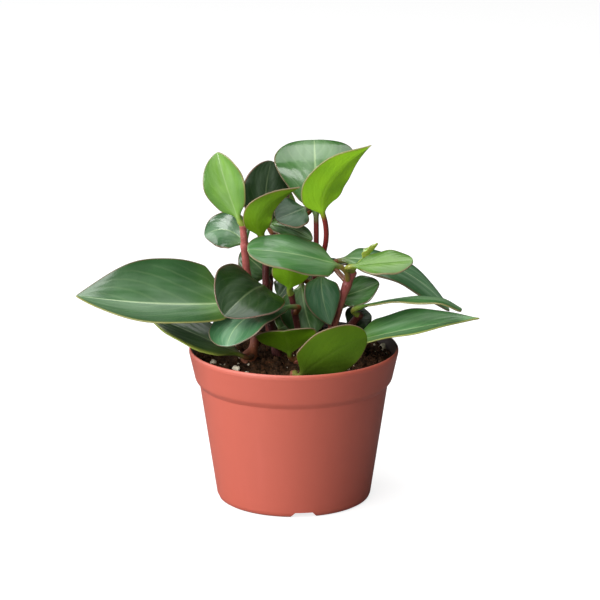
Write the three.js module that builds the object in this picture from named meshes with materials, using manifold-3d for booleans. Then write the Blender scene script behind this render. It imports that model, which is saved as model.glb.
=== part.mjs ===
// Potted peperomia: a small house plant with thick, glossy, spoon-shaped leaves on red stems,
// standing in a thin-walled moulded plastic nursery pot filled with potting mix.
// Millimetres, +Z up, origin at the middle of the pot's underside. The front of the plant looks along -Y.
import * as THREE from "three";
import { mergeVertices } from "three/addons/utils/BufferGeometryUtils.js";
import Module from "manifold-3d";

const wasm = await Module();
wasm.setup();

// Pot
const POT_HEIGHT = 80;
const RIM_RADIUS = 54;
const BAND_TOP_RADIUS = 53.75;
const BAND_FOOT_RADIUS = 51;
const BAND_FOOT_HEIGHT = 63.9;
const STEP_RADIUS = 48.6;
const STEP_HEIGHT = 60.8;
const BODY_FOOT_RADIUS = 39.9;
const FOOT_CHAMFER = 2.6;
const WALL = 1.3;
const FLOOR = 1.8;
const POT_SIDES = 60;

// Drainage: channels moulded across the underside, each with a hole up into the soil
const CHANNELS = 4;
const CHANNEL_TURN = 7.5; // degrees that the front channel stands right of the middle
const CHANNEL_FOOT_WIDTH = 14;
const CHANNEL_TOP_WIDTH = 9;
const CHANNEL_DEPTH = 2.8;
const CHANNEL_START = 20;
const CHANNEL_END = 44;
const DRAIN_HOLE = [25, 31]; // from and to, along the channel
const DRAIN_HOLE_WIDTH = 6;

// Soil
const SOIL_LEVEL = 73.5;
const SOIL_MOUND = 1.5;
const SOIL_ROUGHNESS = 0.9;
const SOIL_REAR_RISE = 1.4; // at the wall, behind the middle
const SOIL_RADIUS = 50;
const SOIL_SIDES = 30;
const SOIL_RINGS = [8, 17, 26, 35, 43, 56]; // radii of the rings that carry its rough top
const PERLITE_SEEN = [[-41, -12], [-29.5, -24], [-36, 5], [46, 14]]; // grains that show at the front
const PERLITE_DRAWN = 12; // more grains, drawn over the rest of the soil
const PERLITE_SIZE = [1.1, 2]; // radius of the smallest and the largest
const PERLITE_FIELD = [12, 42]; // the drawn ones lie between these radii
const SEED = 20829;

// Plant
const SEAT_GAP = 0.3; // between pieces that touch
const STEM_SIDES = 8;
const STEM_RINGS = 9;
const BLADE_THICKNESS = 1.2;
const MARGIN_THICKNESS = 0.8;
const LEAST_HALF_WIDTH = 0.4; // of a blade, at its very tip
const FLAT_FROM = 0.2; // share of the blade over which its round foot flattens
const RIB_SOFTNESS = 0.1; // rounds the bottom of a folded blade's gutter
const STALK_RADIUS = 1.35;

const colours = {
  pot: 0xc4604a,
  soil: 0x2c1d16,
  stem: 0x7a2f28,
  leafOld: 0x2f5a3a,
  leafYoung: 0x76a83a,
};

// Stems: the line of each one's middle from its rooted foot to its top, and its radius at both ends.
const stems = {
  left: {
    path: [[-25, -8, 50], [-23, -6, 71], [-20, -1, 85], [-21.5, 0, 105], [-24.3, -2, 123], [-26, -5, 147]],
    foot: 2.6,
    top: 1.7,
  },
  middle: {
    path: [[-7, 3, 50], [-8, 2, 72], [-13, 2, 98], [-14.3, 2, 112], [-14, 1, 136]],
    foot: 2.6,
    top: 1.7,
  },
  centre: {
    path: [[5, 4, 50], [4.5, 4, 74], [2, 4, 89], [-1.5, 3, 108]],
    foot: 2.1,
    top: 1.5,
  },
  right: {
    path: [[14, 11, 50], [16, 9, 73], [20, 8, 88], [25.5, 6, 106], [30.5, 3, 120]],
    foot: 2.8,
    top: 2.1,
  },
  back: {
    path: [[7, 17, 50], [8, 16, 73], [11.5, 14, 101], [11.5, 11, 125]],
    foot: 2.7,
    top: 1.9,
  },
  low_right: {
    path: [[20, 22, 50], [22, 20, 73], [30, 17, 87], [35, 14, 94]],
    foot: 2.5,
    top: 1.9,
  },
  rear_left: {
    path: [[-12, 24, 50], [-12, 23, 73], [-13, 21, 104], [-10, 19, 136]],
    foot: 2.6,
    top: 1.7,
  },
  front_shoot: {
    path: [[1, -32, 50], [0, -34, 70], [0.5, -35, 77]],
    foot: 2.0,
    top: 1.7,
  },
  centre_shoot: {
    path: [[3, -10, 50], [2, -11, 72], [1, -12, 77]],
    foot: 2.0,
    top: 1.7,
  },
};

// Leaves: "at" is the height where the leaf's stalk leaves its stem, and the midrib runs from base over
// mid to tip. "face" is the way the upper side looks; fold lifts both halves into a gutter and curl bends
// the margins back. "widest" is where along the blade it is widest; a low "full" rounds the base out and a
// low "point" the tip. Age runs from 0 for a new leaf to 1 for an old, dark one.
const leaves = [
  {
    name: "far_left", stem: "left", at: 95, age: 1,
    base: [-29, 0, 103.3], mid: [-68, -16, 107], tip: [-111, -19, 112], face: [0.05, -0.6, 0.8],
    width: 49, widest: 0.47, full: 0.25, point: 0.9, fold: 0.6, curl: -0.08,
  },
  {
    name: "low_left", stem: "left", at: 77, age: 0.9,
    base: [-26, -13, 78.5], mid: [-53, -9, 90], tip: [-76, -6, 98.5], face: [0.1, -0.35, 0.9],
    width: 25, widest: 0.45, full: 0.5, point: 1, fold: 0.1, curl: 0,
  },
  {
    name: "top_left", stem: "left", at: 146, age: 0.15,
    base: [-27.6, -6, 148.5], mid: [-34.3, -5, 167], tip: [-38.6, -2, 183.2], face: [-0.4, -0.9, 0.25],
    width: 24, widest: 0.52, full: 0.65, point: 0.7, fold: 0.4, curl: -0.1,
  },
  {
    name: "left_back", stem: "left", at: 134, age: 0.7,
    base: [-24, 2, 133.5], mid: [-34.5, 7, 140], tip: [-45.8, 13, 135.5], face: [-0.2, -0.75, 0.6],
    width: 21, widest: 0.5, full: 0.25, point: 0.6, fold: 0.2, curl: -0.1,
  },
  {
    name: "front_dark", stem: "middle", at: 108, age: 1,
    base: [-15.5, -5, 113], mid: [-23, -21, 114], tip: [-35, -36, 106], face: [0.32, -0.4, 0.86],
    width: 40, widest: 0.5, full: 0.55, point: 0.6, fold: 0.32, curl: -0.08,
  },
  {
    name: "front_low", stem: "centre", at: 97, age: 0.85,
    base: [1, -3, 102], mid: [-23, -20, 101], tip: [-33.5, -36, 90], face: [-0.25, -0.2, 0.95],
    width: 33.5, widest: 0.6, full: 0.45, point: 0.45, fold: 0.1, curl: -0.05,
  },
  {
    name: "upper_folded", stem: "middle", at: 135, age: 0.2,
    base: [-15.5, -4, 139], mid: [-16.5, -15, 155.3], tip: [3.5, -10, 167], face: [0.1, 0.85, 0.5],
    width: 15.5, widest: 0.4, full: 0.45, point: 1, fold: 0.3, curl: -0.1,
  },
  {
    name: "centre_front", stem: "right", at: 111, age: 0.5,
    base: [22.8, -4, 123.8], mid: [0.5, -14, 132.5], tip: [-23.5, -21, 136.5], face: [0.05, -0.5, 0.86],
    width: 28, widest: 0.46, full: 0.22, point: 0.4, fold: 0.2, curl: -0.15,
  },
  {
    name: "right_young", stem: "right", at: 119.3, age: 0.2,
    base: [29.7, -6, 124.2], mid: [45, -7, 126.3], tip: [61, -7, 127.3], face: [0, -0.4, 0.92],
    width: 20, widest: 0.58, full: 0.65, point: 0.5, fold: 0.15, curl: -0.15,
  },
  {
    name: "top_large", stem: "back", at: 124.3, age: 0.75,
    base: [11.5, 8, 145], mid: [11, 11, 170], tip: [10.5, 28, 182.5], face: [0, -0.85, 0.5],
    width: 42, widest: 0.68, full: 0.5, point: 0.35, fold: 0.1, curl: -0.12,
  },
  {
    name: "top_pointed", stem: "back", at: 118, age: 0.15,
    base: [15, -2, 150.4], mid: [18.3, -8, 169.5], tip: [39.5, -9, 188.5], face: [-0.4, 0.85, 0.35],
    width: 25, widest: 0.42, full: 0.6, point: 1.1, fold: 0.3, curl: -0.1,
  },
  {
    name: "upper_back", stem: "rear_left", at: 135, age: 1,
    base: [-13, 21, 139], mid: [-14.5, 24, 155], tip: [-11.5, 27, 172], face: [0, -1, 0.15],
    width: 25, widest: 0.5, full: 0.6, point: 0.55, fold: 0.15, curl: -0.1,
  },
  {
    name: "inner_pale", stem: "rear_left", at: 133, age: 0.6,
    base: [6.3, 7, 151.5], mid: [-1, 2, 150], tip: [-9, -2, 147.5], face: [0, -0.6, 0.8],
    width: 22, widest: 0.5, full: 0.6, point: 0.6, fold: 0.2, curl: -0.1,
  },
  {
    name: "inner_dark", stem: "rear_left", at: 124, age: 1,
    base: [-13, 9, 142], mid: [-2, 6.5, 141], tip: [9.5, 3.5, 135.5], face: [0.1, -0.3, 0.95],
    width: 18, widest: 0.5, full: 0.6, point: 0.6, fold: 0.1, curl: -0.1,
  },
  {
    name: "inner_lime", stem: "centre", at: 107, age: 0.2,
    base: [-2.3, 0, 111], mid: [-1.5, -4, 120], tip: [-1, -5, 131], face: [0, 0.85, 0.5],
    width: 20, widest: 0.5, full: 0.7, point: 0.8, fold: 0.25, curl: -0.1,
  },
  {
    name: "centre_hanging", stem: "back", at: 114, age: 0.9,
    base: [14, 5, 117], mid: [15, 1.5, 105], tip: [19, 1, 91], face: [0.1, -0.9, 0.4],
    width: 19, widest: 0.4, full: 0.6, point: 0.8, fold: 0.15, curl: -0.1,
  },
  {
    name: "centre_shaded", stem: "back", at: 106, age: 1,
    base: [4, 10, 111], mid: [6, 8.5, 97], tip: [10, 8.5, 84], face: [-0.1, -0.95, 0.3],
    width: 27, widest: 0.5, full: 0.5, point: 0.6, fold: 0.1, curl: -0.05,
  },
  {
    name: "behind_right", stem: "back", at: 97, age: 0.8,
    base: [22, 21, 100], mid: [33.5, 20, 103.8], tip: [44.3, 18, 109], face: [-0.2, -0.6, 0.75],
    width: 19, widest: 0.5, full: 0.6, point: 0.6, fold: 0.15, curl: -0.1,
  },
  {
    name: "right_arching", stem: "right", at: 113, age: 0.95,
    base: [23, 12, 122.5], mid: [53.5, 17, 117], tip: [81, 21, 93], face: [0.15, -0.3, 0.95],
    width: 26, widest: 0.46, full: 0.25, point: 0.7, fold: 0.15, curl: -0.2,
  },
  {
    name: "right_edge_on", stem: "low_right", at: 92.5, age: 0.7,
    base: [32, 8, 98], mid: [59, -6, 107], tip: [86, -11, 105.8], face: [0.05, 0.1, 0.99],
    width: 22, widest: 0.6, full: 0.5, point: 0.3, fold: 0.1, curl: -0.15,
  },
  {
    name: "right_low", stem: "low_right", at: 80, age: 0.8,
    base: [28, 3, 80.5], mid: [60, -5, 90.5], tip: [95.3, -9, 97.6], face: [0, -0.12, 0.99],
    width: 38, widest: 0.38, full: 0.22, point: 1.1, fold: 0.3, curl: -0.05,
  },
  {
    name: "front_lime", stem: "front_shoot", at: 76, age: 0.3,
    base: [3.5, -40, 76.4], mid: [18.5, -42, 88], tip: [37, -37, 96], face: [-0.25, 0.93, 0.15],
    width: 27.5, widest: 0.5, full: 0.3, point: 0.45, fold: 0.1, curl: -0.05,
  },
  {
    name: "low_centre", stem: "centre_shoot", at: 76, age: 0.4,
    base: [-2, -14, 79], mid: [-3.5, -19, 88], tip: [-5, -25, 95.3], face: [0, 0.78, 0.62],
    width: 32, widest: 0.66, full: 0.8, point: 0.4, fold: 0.2, curl: -0.05,
  },
  {
    name: "low_shaded", stem: "low_right", at: 83, age: 1,
    base: [28, 21, 85], mid: [33.5, 22, 88.5], tip: [40.5, 24, 89.5], face: [0, -0.6, 0.8],
    width: 18, widest: 0.5, full: 0.6, point: 0.6, fold: 0.1, curl: -0.05,
  },
  {
    name: "behind_left", stem: "rear_left", at: 108, age: 0.9,
    base: [-14, 15, 113], mid: [-18, 11, 119.5], tip: [-27.5, 13, 127], face: [0, -0.9, 0.4],
    width: 24, widest: 0.5, full: 0.6, point: 0.6, fold: 0.1, curl: -0.05,
  },
  {
    name: "behind_centre", stem: "rear_left", at: 97, age: 1,
    base: [-8, 17.5, 101], mid: [-5, 15, 106], tip: [-2.5, 13.5, 110.5], face: [0, -0.8, 0.6],
    width: 14, widest: 0.5, full: 0.6, point: 0.6, fold: 0.1, curl: -0.05,
  },
  {
    name: "rear_left", stem: "rear_left", at: 98, age: 0.9,
    base: [-18, 25, 103], mid: [-36, 36, 105], tip: [-54, 46, 98], face: [-0.1, 0.1, 1],
    width: 28, widest: 0.5, full: 0.6, point: 0.8, fold: 0.2, curl: -0.15,
  },
  {
    name: "rear_low", stem: "rear_left", at: 86, age: 0.8,
    base: [-13, 29, 90], mid: [-17, 44, 93], tip: [-20, 60, 86], face: [0, 0.1, 1],
    width: 27, widest: 0.5, full: 0.6, point: 0.8, fold: 0.2, curl: -0.15,
  },
  {
    name: "rear_bottom", stem: "rear_left", at: 77, age: 1,
    base: [-8, 28, 80], mid: [1, 38, 83], tip: [12, 45, 82.5], face: [0, -0.3, 0.95],
    width: 20, widest: 0.5, full: 0.6, point: 0.6, fold: 0.2, curl: -0.1,
  },
  {
    name: "rear_middle", stem: "back", at: 103, age: 0.9,
    base: [9, 22, 108], mid: [7, 40, 110], tip: [5, 58, 101], face: [0, 0.1, 1],
    width: 30, widest: 0.5, full: 0.6, point: 0.8, fold: 0.2, curl: -0.15,
  },
  {
    name: "rear_right", stem: "back", at: 88, age: 0.6,
    base: [15, 22, 92], mid: [20, 37, 94], tip: [26, 53, 86], face: [0, 0.1, 1],
    width: 25, widest: 0.5, full: 0.6, point: 0.8, fold: 0.2, curl: -0.15,
  },
  {
    name: "rear_upright", stem: "rear_left", at: 129, age: 0.3,
    base: [-8, 27, 134], mid: [-8, 35, 145], tip: [-9, 40, 158], face: [0, -0.7, 0.7],
    width: 19, widest: 0.5, full: 0.6, point: 0.6, fold: 0.25, curl: -0.1,
  },
  {
    name: "rear_high_left", stem: "rear_left", at: 117, age: 0.7,
    base: [-8, 25, 122], mid: [-5, 38, 125], tip: [-1, 50, 119], face: [0, 0.1, 1],
    width: 24, widest: 0.5, full: 0.6, point: 0.7, fold: 0.2, curl: -0.15,
  },
  {
    name: "rear_high_right", stem: "back", at: 110, age: 0.8,
    base: [15, 19, 115], mid: [22, 32, 117.5], tip: [30, 44, 111], face: [0, 0.1, 1],
    width: 22, widest: 0.5, full: 0.6, point: 0.7, fold: 0.2, curl: -0.15,
  },
  {
    name: "new_spear", stem: "right", at: 117.5, age: 0, stalk: 0.9,
    base: [35, 5, 124.5], mid: [39.5, 4.5, 129], tip: [43, 5, 133.8], face: [-0.5, 0, 0.8],
    width: 5.5, widest: 0.4, full: 0.8, point: 1, fold: 0.9, curl: 0.3,
  },
];

const STALK_STATIONS = [0, 0.5];
const BLADE_STATIONS = [0, 0.08, 0.22, 0.38, 0.54, 0.7, 0.85, 0.95, 1];
const ACROSS = [-1, -0.5, 0, 0.5, 1]; // across the blade, from one margin to the other
const ROUND_ACROSS = [-0.95, -0.59, 0, 0.59, 0.95]; // the same points on a round stalk

const vector = (list) => new THREE.Vector3(...list);
const mix = THREE.MathUtils.lerp;

// A geometry as a manifold-3d solid, and back
function solidOf(geometry) {
  const bare = new THREE.BufferGeometry();
  bare.setAttribute("position", geometry.getAttribute("position").clone());
  if (geometry.index) bare.setIndex(geometry.index.clone());
  const merged = mergeVertices(bare, 1e-4);
  return new wasm.Manifold(
    new wasm.Mesh({
      numProp: 3,
      vertProperties: merged.getAttribute("position").array,
      triVerts: new Uint32Array(merged.index.array),
    }),
  );
}

function geometryOf(solid) {
  const made = solid.getMesh();
  const geometry = new THREE.BufferGeometry();
  geometry.setAttribute("position", new THREE.BufferAttribute(made.vertProperties, 3));
  geometry.setIndex(new THREE.BufferAttribute(made.triVerts, 1));
  geometry.computeVertexNormals();
  return geometry;
}

function largestPiece(solid) {
  return solid.decompose().reduce((a, b) => (a.volume() > b.volume() ? a : b));
}

// A closed skin over rings that all have the same number of points, with both ends capped
function skinOver(rings) {
  const count = rings[0].length;
  const index = [];
  rings.slice(1).forEach((_, i) => {
    for (let j = 0; j < count; j++) {
      const a = i * count + j;
      const b = i * count + ((j + 1) % count);
      const c = b + count;
      const d = a + count;
      // Both faces of a blade are split along the same diagonal, so that a twist never crosses them
      const upper = j < count / 2 - 1;
      index.push(...(upper ? [a, b, c, a, c, d] : [a, b, d, b, c, d]));
    }
  });
  const last = (rings.length - 1) * count;
  for (let j = 1; j < count - 1; j++) {
    index.push(0, j + 1, j);
    index.push(last, last + j, last + j + 1);
  }
  const places = rings.flat().flatMap((p) => p.toArray());
  const geometry = new THREE.BufferGeometry();
  geometry.setAttribute("position", new THREE.Float32BufferAttribute(places, 3));
  geometry.setIndex(index);
  return geometry;
}

// A closed profile, given as [radius, height] from axis to axis, turned about Z
function turned(profile, sides) {
  const lathe = new THREE.LatheGeometry(profile.map(([r, z]) => new THREE.Vector2(r, z)), sides);
  return lathe.rotateX(Math.PI / 2);
}

// Stems
function stemCurve(stem) {
  return new THREE.CatmullRomCurve3(stem.path.map(vector), false, "catmullrom", 0.5);
}

function pointAtHeight(curve, height) {
  let low = 0;
  let high = 1;
  for (let i = 0; i < 30; i++) {
    const middle = (low + high) / 2;
    if (curve.getPoint(middle).z < height) low = middle;
    else high = middle;
  }
  return curve.getPoint(low);
}

function stemSolid(stem, extra = 0) {
  const curve = stemCurve(stem);
  const frames = curve.computeFrenetFrames(STEM_RINGS, false);
  const rings = [];
  for (let i = 0; i <= STEM_RINGS; i++) {
    const along = i / STEM_RINGS;
    const middle = curve.getPointAt(along);
    if (i === 0) middle.z -= extra;
    if (i === STEM_RINGS) middle.addScaledVector(frames.tangents[i], extra);
    const radius = mix(stem.foot, stem.top, along) + extra;
    const ring = [];
    for (let j = 0; j < STEM_SIDES; j++) {
      const turn = (j * 2 * Math.PI) / STEM_SIDES;
      ring.push(
        middle
          .clone()
          .addScaledVector(frames.normals[i], Math.cos(turn) * radius)
          .addScaledVector(frames.binormals[i], Math.sin(turn) * radius),
      );
    }
    rings.push(ring);
  }
  return solidOf(skinOver(rings));
}

// Leaves
function arc(from, over, to, t) {
  // The parabola that passes from, over at its half, and to
  const pull = over.clone().multiplyScalar(2).addScaledVector(from, -0.5).addScaledVector(to, -0.5);
  const point = from.clone().multiplyScalar((1 - t) ** 2);
  point.addScaledVector(pull, 2 * t * (1 - t)).addScaledVector(to, t * t);
  const heading = pull.clone().sub(from).multiplyScalar(1 - t);
  heading.addScaledVector(to.clone().sub(pull), t).normalize();
  return { point, heading };
}

function outline(leaf, t) {
  const bent = t ** (Math.log(0.5) / Math.log(leaf.widest));
  return Math.sin(Math.PI * Math.min(bent, 1)) ** mix(leaf.full, leaf.point, t);
}

function crossFrame(heading, face) {
  const side = new THREE.Vector3().crossVectors(heading, vector(face)).normalize();
  return { side, up: new THREE.Vector3().crossVectors(side, heading) };
}

// How high a round stalk's skin stands at a share of its radius from the middle
const roundHeight = (across) => Math.sqrt(1 - across * across);

// A ring round a leaf: over its upper face from one margin to the other, and back under its lower face
function ringOf(spot) {
  const places = ACROSS.map((_, k) => k);
  return [...places.map((k) => spot(k, 1)), ...places.toReversed().map((k) => spot(k, -1))];
}

function leafGeometry(leaf) {
  const base = vector(leaf.base);
  const middle = vector(leaf.mid);
  const tip = vector(leaf.tip);
  const radius = leaf.stalk ?? STALK_RADIUS;
  const rings = [];

  // The stalk, from the middle of the stem to the foot of the blade
  const seat = pointAtHeight(stemCurve(stems[leaf.stem]), leaf.at);
  const start = arc(base, middle, tip, 0).heading;
  const bend = base.clone().addScaledVector(start, -0.5 * seat.distanceTo(base));
  const stalk = new THREE.QuadraticBezierCurve3(seat, bend, base);
  for (const t of STALK_STATIONS) {
    const { side, up } = crossFrame(stalk.getTangent(t), leaf.face);
    rings.push(
      ringOf((k, sign) => {
        const across = ROUND_ACROSS[k];
        return stalk
          .getPoint(t)
          .addScaledVector(side, radius * across)
          .addScaledVector(up, sign * radius * roundHeight(across));
      }),
    );
  }

  // The blade, which starts as round as the stalk and flattens as it widens
  const spread = 1 / Math.hypot(1, leaf.fold + leaf.curl / 2);
  for (const t of BLADE_STATIONS) {
    const { point, heading } = arc(base, middle, tip, t);
    const { side, up } = crossFrame(heading, leaf.face);
    const half = Math.max((leaf.width / 2) * outline(leaf, t), LEAST_HALF_WIDTH);
    const flat = THREE.MathUtils.smoothstep(t, 0, FLAT_FROM);
    rings.push(
      ringOf((k, sign) => {
        const s = ACROSS[k];
        const round = ROUND_ACROSS[k];
        const gutter = Math.hypot(s, RIB_SOFTNESS) - RIB_SOFTNESS;
        const lift = half * (leaf.fold * gutter + leaf.curl * s * s);
        const thick = mix(BLADE_THICKNESS, MARGIN_THICKNESS, Math.abs(s)) / 2;
        return point
          .clone()
          .addScaledVector(side, mix(radius * round, half * s * spread, flat))
          .addScaledVector(up, lift * flat + sign * mix(radius * roundHeight(round), thick, flat));
      }),
    );
  }
  return skinOver(rings);
}

// A leaf's stalk ends on the skin of its stem, a seat gap away from it
function leafSolid(leaf) {
  const whole = solidOf(leafGeometry(leaf));
  return largestPiece(whole.subtract(stemSolid(stems[leaf.stem], SEAT_GAP)));
}

// Pot
const wallSlope = (STEP_RADIUS - BODY_FOOT_RADIUS) / (STEP_HEIGHT - FOOT_CHAMFER);
const outerRadius = (z) => BODY_FOOT_RADIUS + (z - FOOT_CHAMFER) * wallSlope;
const LIP_EASE = 0.4; // rounding of the rim's inner edge
const innerProfile = [
  [RIM_RADIUS - WALL, POT_HEIGHT - LIP_EASE],
  [BAND_FOOT_RADIUS - WALL, BAND_FOOT_HEIGHT],
  [STEP_RADIUS - WALL, STEP_HEIGHT - 0.6],
  [outerRadius(8) - WALL, 8],
  [outerRadius(FLOOR) - WALL - 1.6, FLOOR],
];

// A slot with sloping sides along +X, from and to a radius, as a solid
function channel(from, to, grow) {
  const foot = CHANNEL_FOOT_WIDTH / 2 + grow;
  const top = CHANNEL_TOP_WIDTH / 2 + grow;
  const high = CHANNEL_DEPTH + grow;
  const section = new THREE.Shape([
    new THREE.Vector2(-foot, -1),
    new THREE.Vector2(foot, -1),
    new THREE.Vector2(foot, 0),
    new THREE.Vector2(top, high),
    new THREE.Vector2(-top, high),
    new THREE.Vector2(-foot, 0),
  ]);
  const block = new THREE.ExtrudeGeometry(section, { depth: to - from, bevelEnabled: false });
  return solidOf(block.rotateX(Math.PI / 2).rotateZ(Math.PI / 2).translate(from, 0, 0));
}

// Copies of a solid that lies along +X, one on each channel; the first channel is at the front
function aroundChannels(solid) {
  const turn = (i) => -90 + CHANNEL_TURN + (i * 360) / CHANNELS;
  const copies = Array.from({ length: CHANNELS }, (_, i) => solid.rotate([0, 0, turn(i)]));
  return copies.reduce((a, b) => a.add(b));
}

// What the pot holds, drawn in from its walls and floor by a clearance
function insideOfPot(clearance) {
  const [floorRing, ...walls] = innerProfile.toReversed();
  const profile = [
    [0, FLOOR + clearance],
    [floorRing[0] - clearance, FLOOR + clearance],
    ...walls.map(([r, z]) => [r - clearance, z]),
    [0, POT_HEIGHT - LIP_EASE],
  ];
  return solidOf(turned(profile, POT_SIDES));
}

function potSolid() {
  const profile = [
    [0, 0],
    [BODY_FOOT_RADIUS - 2.2, 0],
    [BODY_FOOT_RADIUS - 0.7, 0.9],
    [BODY_FOOT_RADIUS, FOOT_CHAMFER],
    [STEP_RADIUS, STEP_HEIGHT],
    [BAND_FOOT_RADIUS - 0.5, BAND_FOOT_HEIGHT - 0.6],
    [BAND_FOOT_RADIUS, BAND_FOOT_HEIGHT + 0.6],
    [BAND_TOP_RADIUS, POT_HEIGHT - 3.2],
    [RIM_RADIUS, POT_HEIGHT - 2.4],
    [RIM_RADIUS, POT_HEIGHT - 0.9],
    [RIM_RADIUS - 0.5, POT_HEIGHT],
    [RIM_RADIUS - WALL + 0.2, POT_HEIGHT],
    ...innerProfile,
    [0, FLOOR],
  ];
  const shell = solidOf(turned(profile, POT_SIDES));
  const humps = aroundChannels(channel(CHANNEL_START - WALL, CHANNEL_END, WALL));
  const insideAndSkin = insideOfPot(-WALL / 2);
  const slots = aroundChannels(channel(CHANNEL_START, CHANNEL_END, 0));
  const [holeFrom, holeTo] = DRAIN_HOLE;
  const hole = new THREE.BoxGeometry(holeTo - holeFrom, DRAIN_HOLE_WIDTH, 20);
  const holes = aroundChannels(solidOf(hole.translate((holeFrom + holeTo) / 2, 0, 0)));
  return shell.add(humps.intersect(insideAndSkin)).subtract(slots).subtract(holes);
}

// Soil: a slightly mounded, crumbly top, with grains of perlite standing out of it
function crumbs(x, y) {
  const across = Math.sin(0.59 * x + 1.3 * Math.sin(0.44 * y));
  const along = Math.sin(0.7 * y + 1.7 * Math.sin(0.36 * x));
  return (across + along) / 2;
}

function soilTop(x, y) {
  const out = Math.hypot(x, y) / SOIL_RADIUS;
  const mound = SOIL_MOUND * (1 - out * out);
  const rise = (SOIL_REAR_RISE * y) / SOIL_RADIUS;
  return SOIL_LEVEL + mound + rise + SOIL_ROUGHNESS * crumbs(x, y);
}

function seeded(seed) {
  let state = seed;
  return () => {
    state = (state * 1664525 + 1013904223) % 4294967296;
    return state / 4294967296;
  };
}

// Each grain as [x, y, radius]
function perliteGrains() {
  const draw = seeded(SEED);
  const size = () => mix(...PERLITE_SIZE, draw());
  const seen = PERLITE_SEEN.map(([x, y]) => [x, y, size()]);
  const drawn = Array.from({ length: PERLITE_DRAWN }, () => {
    const turn = draw() * 2 * Math.PI;
    const r = mix(...PERLITE_FIELD, Math.sqrt(draw()));
    return [r * Math.cos(turn), r * Math.sin(turn), size()];
  });
  return [...seen, ...drawn];
}

function soilSolid() {
  const rings = SOIL_RINGS.map((r) =>
    Array.from({ length: SOIL_SIDES }, (_, j) => {
      const turn = (j * 2 * Math.PI) / SOIL_SIDES;
      const x = r * Math.cos(turn);
      const y = r * Math.sin(turn);
      return new THREE.Vector3(x, y, soilTop(x, y));
    }),
  );
  const floor = rings.at(-1).map((p) => new THREE.Vector3(p.x, p.y, 0));
  let soil = solidOf(skinOver([floor, ...rings.toReversed()])).intersect(insideOfPot(SEAT_GAP));
  for (const [x, y, radius] of perliteGrains()) {
    const grain = new THREE.IcosahedronGeometry(radius, 0);
    grain.scale(1, 1, 0.8).translate(x, y, soilTop(x, y) + 0.2);
    soil = soil.add(solidOf(grain));
  }
  const room = WALL + SEAT_GAP;
  soil = soil.subtract(aroundChannels(channel(CHANNEL_START - room, CHANNEL_END + 4, room)));
  for (const stem of Object.values(stems)) soil = soil.subtract(stemSolid(stem, SEAT_GAP));
  return largestPiece(soil);
}

// Assembly
const plant = new THREE.Group();

function place(name, solid, colour, roughness) {
  const material = new THREE.MeshStandardMaterial({ color: colour, roughness, metalness: 0 });
  const mesh = new THREE.Mesh(geometryOf(solid), material);
  mesh.name = name;
  plant.add(mesh);
}

place("pot", potSolid(), colours.pot, 0.55);
place("soil", soilSolid(), colours.soil, 0.95);
for (const [name, stem] of Object.entries(stems)) {
  place(`stem_${name}`, stemSolid(stem), colours.stem, 0.5);
}
for (const leaf of leaves) {
  const colour = new THREE.Color(colours.leafYoung).lerp(new THREE.Color(colours.leafOld), leaf.age);
  place(`leaf_${leaf.name}`, leafSolid(leaf), colour, 0.35);
}

export default plant;
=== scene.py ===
import math
from functools import cache
from random import Random
from types import SimpleNamespace

import bmesh
import bpy
from bpy.props import FloatProperty, FloatVectorProperty, IntProperty, PointerProperty
from mathutils import Euler, Matrix, Vector, noise


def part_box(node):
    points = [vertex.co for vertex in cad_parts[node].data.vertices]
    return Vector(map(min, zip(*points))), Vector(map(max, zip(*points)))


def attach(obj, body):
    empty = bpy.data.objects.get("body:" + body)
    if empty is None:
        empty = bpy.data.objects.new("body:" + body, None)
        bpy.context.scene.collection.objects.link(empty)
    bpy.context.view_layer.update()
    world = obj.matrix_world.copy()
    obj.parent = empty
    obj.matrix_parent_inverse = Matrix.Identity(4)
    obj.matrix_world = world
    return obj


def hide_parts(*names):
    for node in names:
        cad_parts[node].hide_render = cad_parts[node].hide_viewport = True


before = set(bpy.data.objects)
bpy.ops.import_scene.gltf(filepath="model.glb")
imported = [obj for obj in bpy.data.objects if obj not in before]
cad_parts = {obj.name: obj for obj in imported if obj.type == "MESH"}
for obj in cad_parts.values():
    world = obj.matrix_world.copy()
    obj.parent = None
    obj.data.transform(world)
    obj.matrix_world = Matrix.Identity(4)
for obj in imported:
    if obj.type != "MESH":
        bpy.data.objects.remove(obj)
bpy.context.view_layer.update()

bl_info = {
    "name": "Potted Peperomia",
    "version": (1, 0, 0),
    "blender": (4, 5, 0),
    "location": "3D View > Sidebar > Peperomia",
    "description": "Builds a potted peperomia's leaves, stems, soil and pot, and a studio stage",
    "category": "Object",
}

MM = 0.001

# Pot, as the frame has it
POT_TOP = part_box("pot")[1]
RIM_RADIUS = POT_TOP.x
POT_HEIGHT = POT_TOP.z
BAND_TOP_RADIUS = 53.75 * MM
BAND_FOOT_RADIUS = 51 * MM
BAND_FOOT_HEIGHT = 63.9 * MM
STEP_RADIUS = 48.6 * MM
STEP_HEIGHT = 60.8 * MM
BODY_FOOT_RADIUS = 39.9 * MM
FOOT_CHAMFER = 2.6 * MM
WALL = 1.3 * MM
FLOOR = 1.8 * MM
LIP_EASE = 0.4 * MM

# Drainage channels across the pot's underside, each with a hole up into the soil
CHANNELS = 4
CHANNEL_TURN = 7.5
CHANNEL_FOOT_WIDTH = 14 * MM
CHANNEL_TOP_WIDTH = 9 * MM
CHANNEL_DEPTH = 2.8 * MM
CHANNEL_START = 20 * MM
CHANNEL_END = 44 * MM
DRAIN_HOLE = (25 * MM, 31 * MM)
DRAIN_HOLE_WIDTH = 6 * MM

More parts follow.
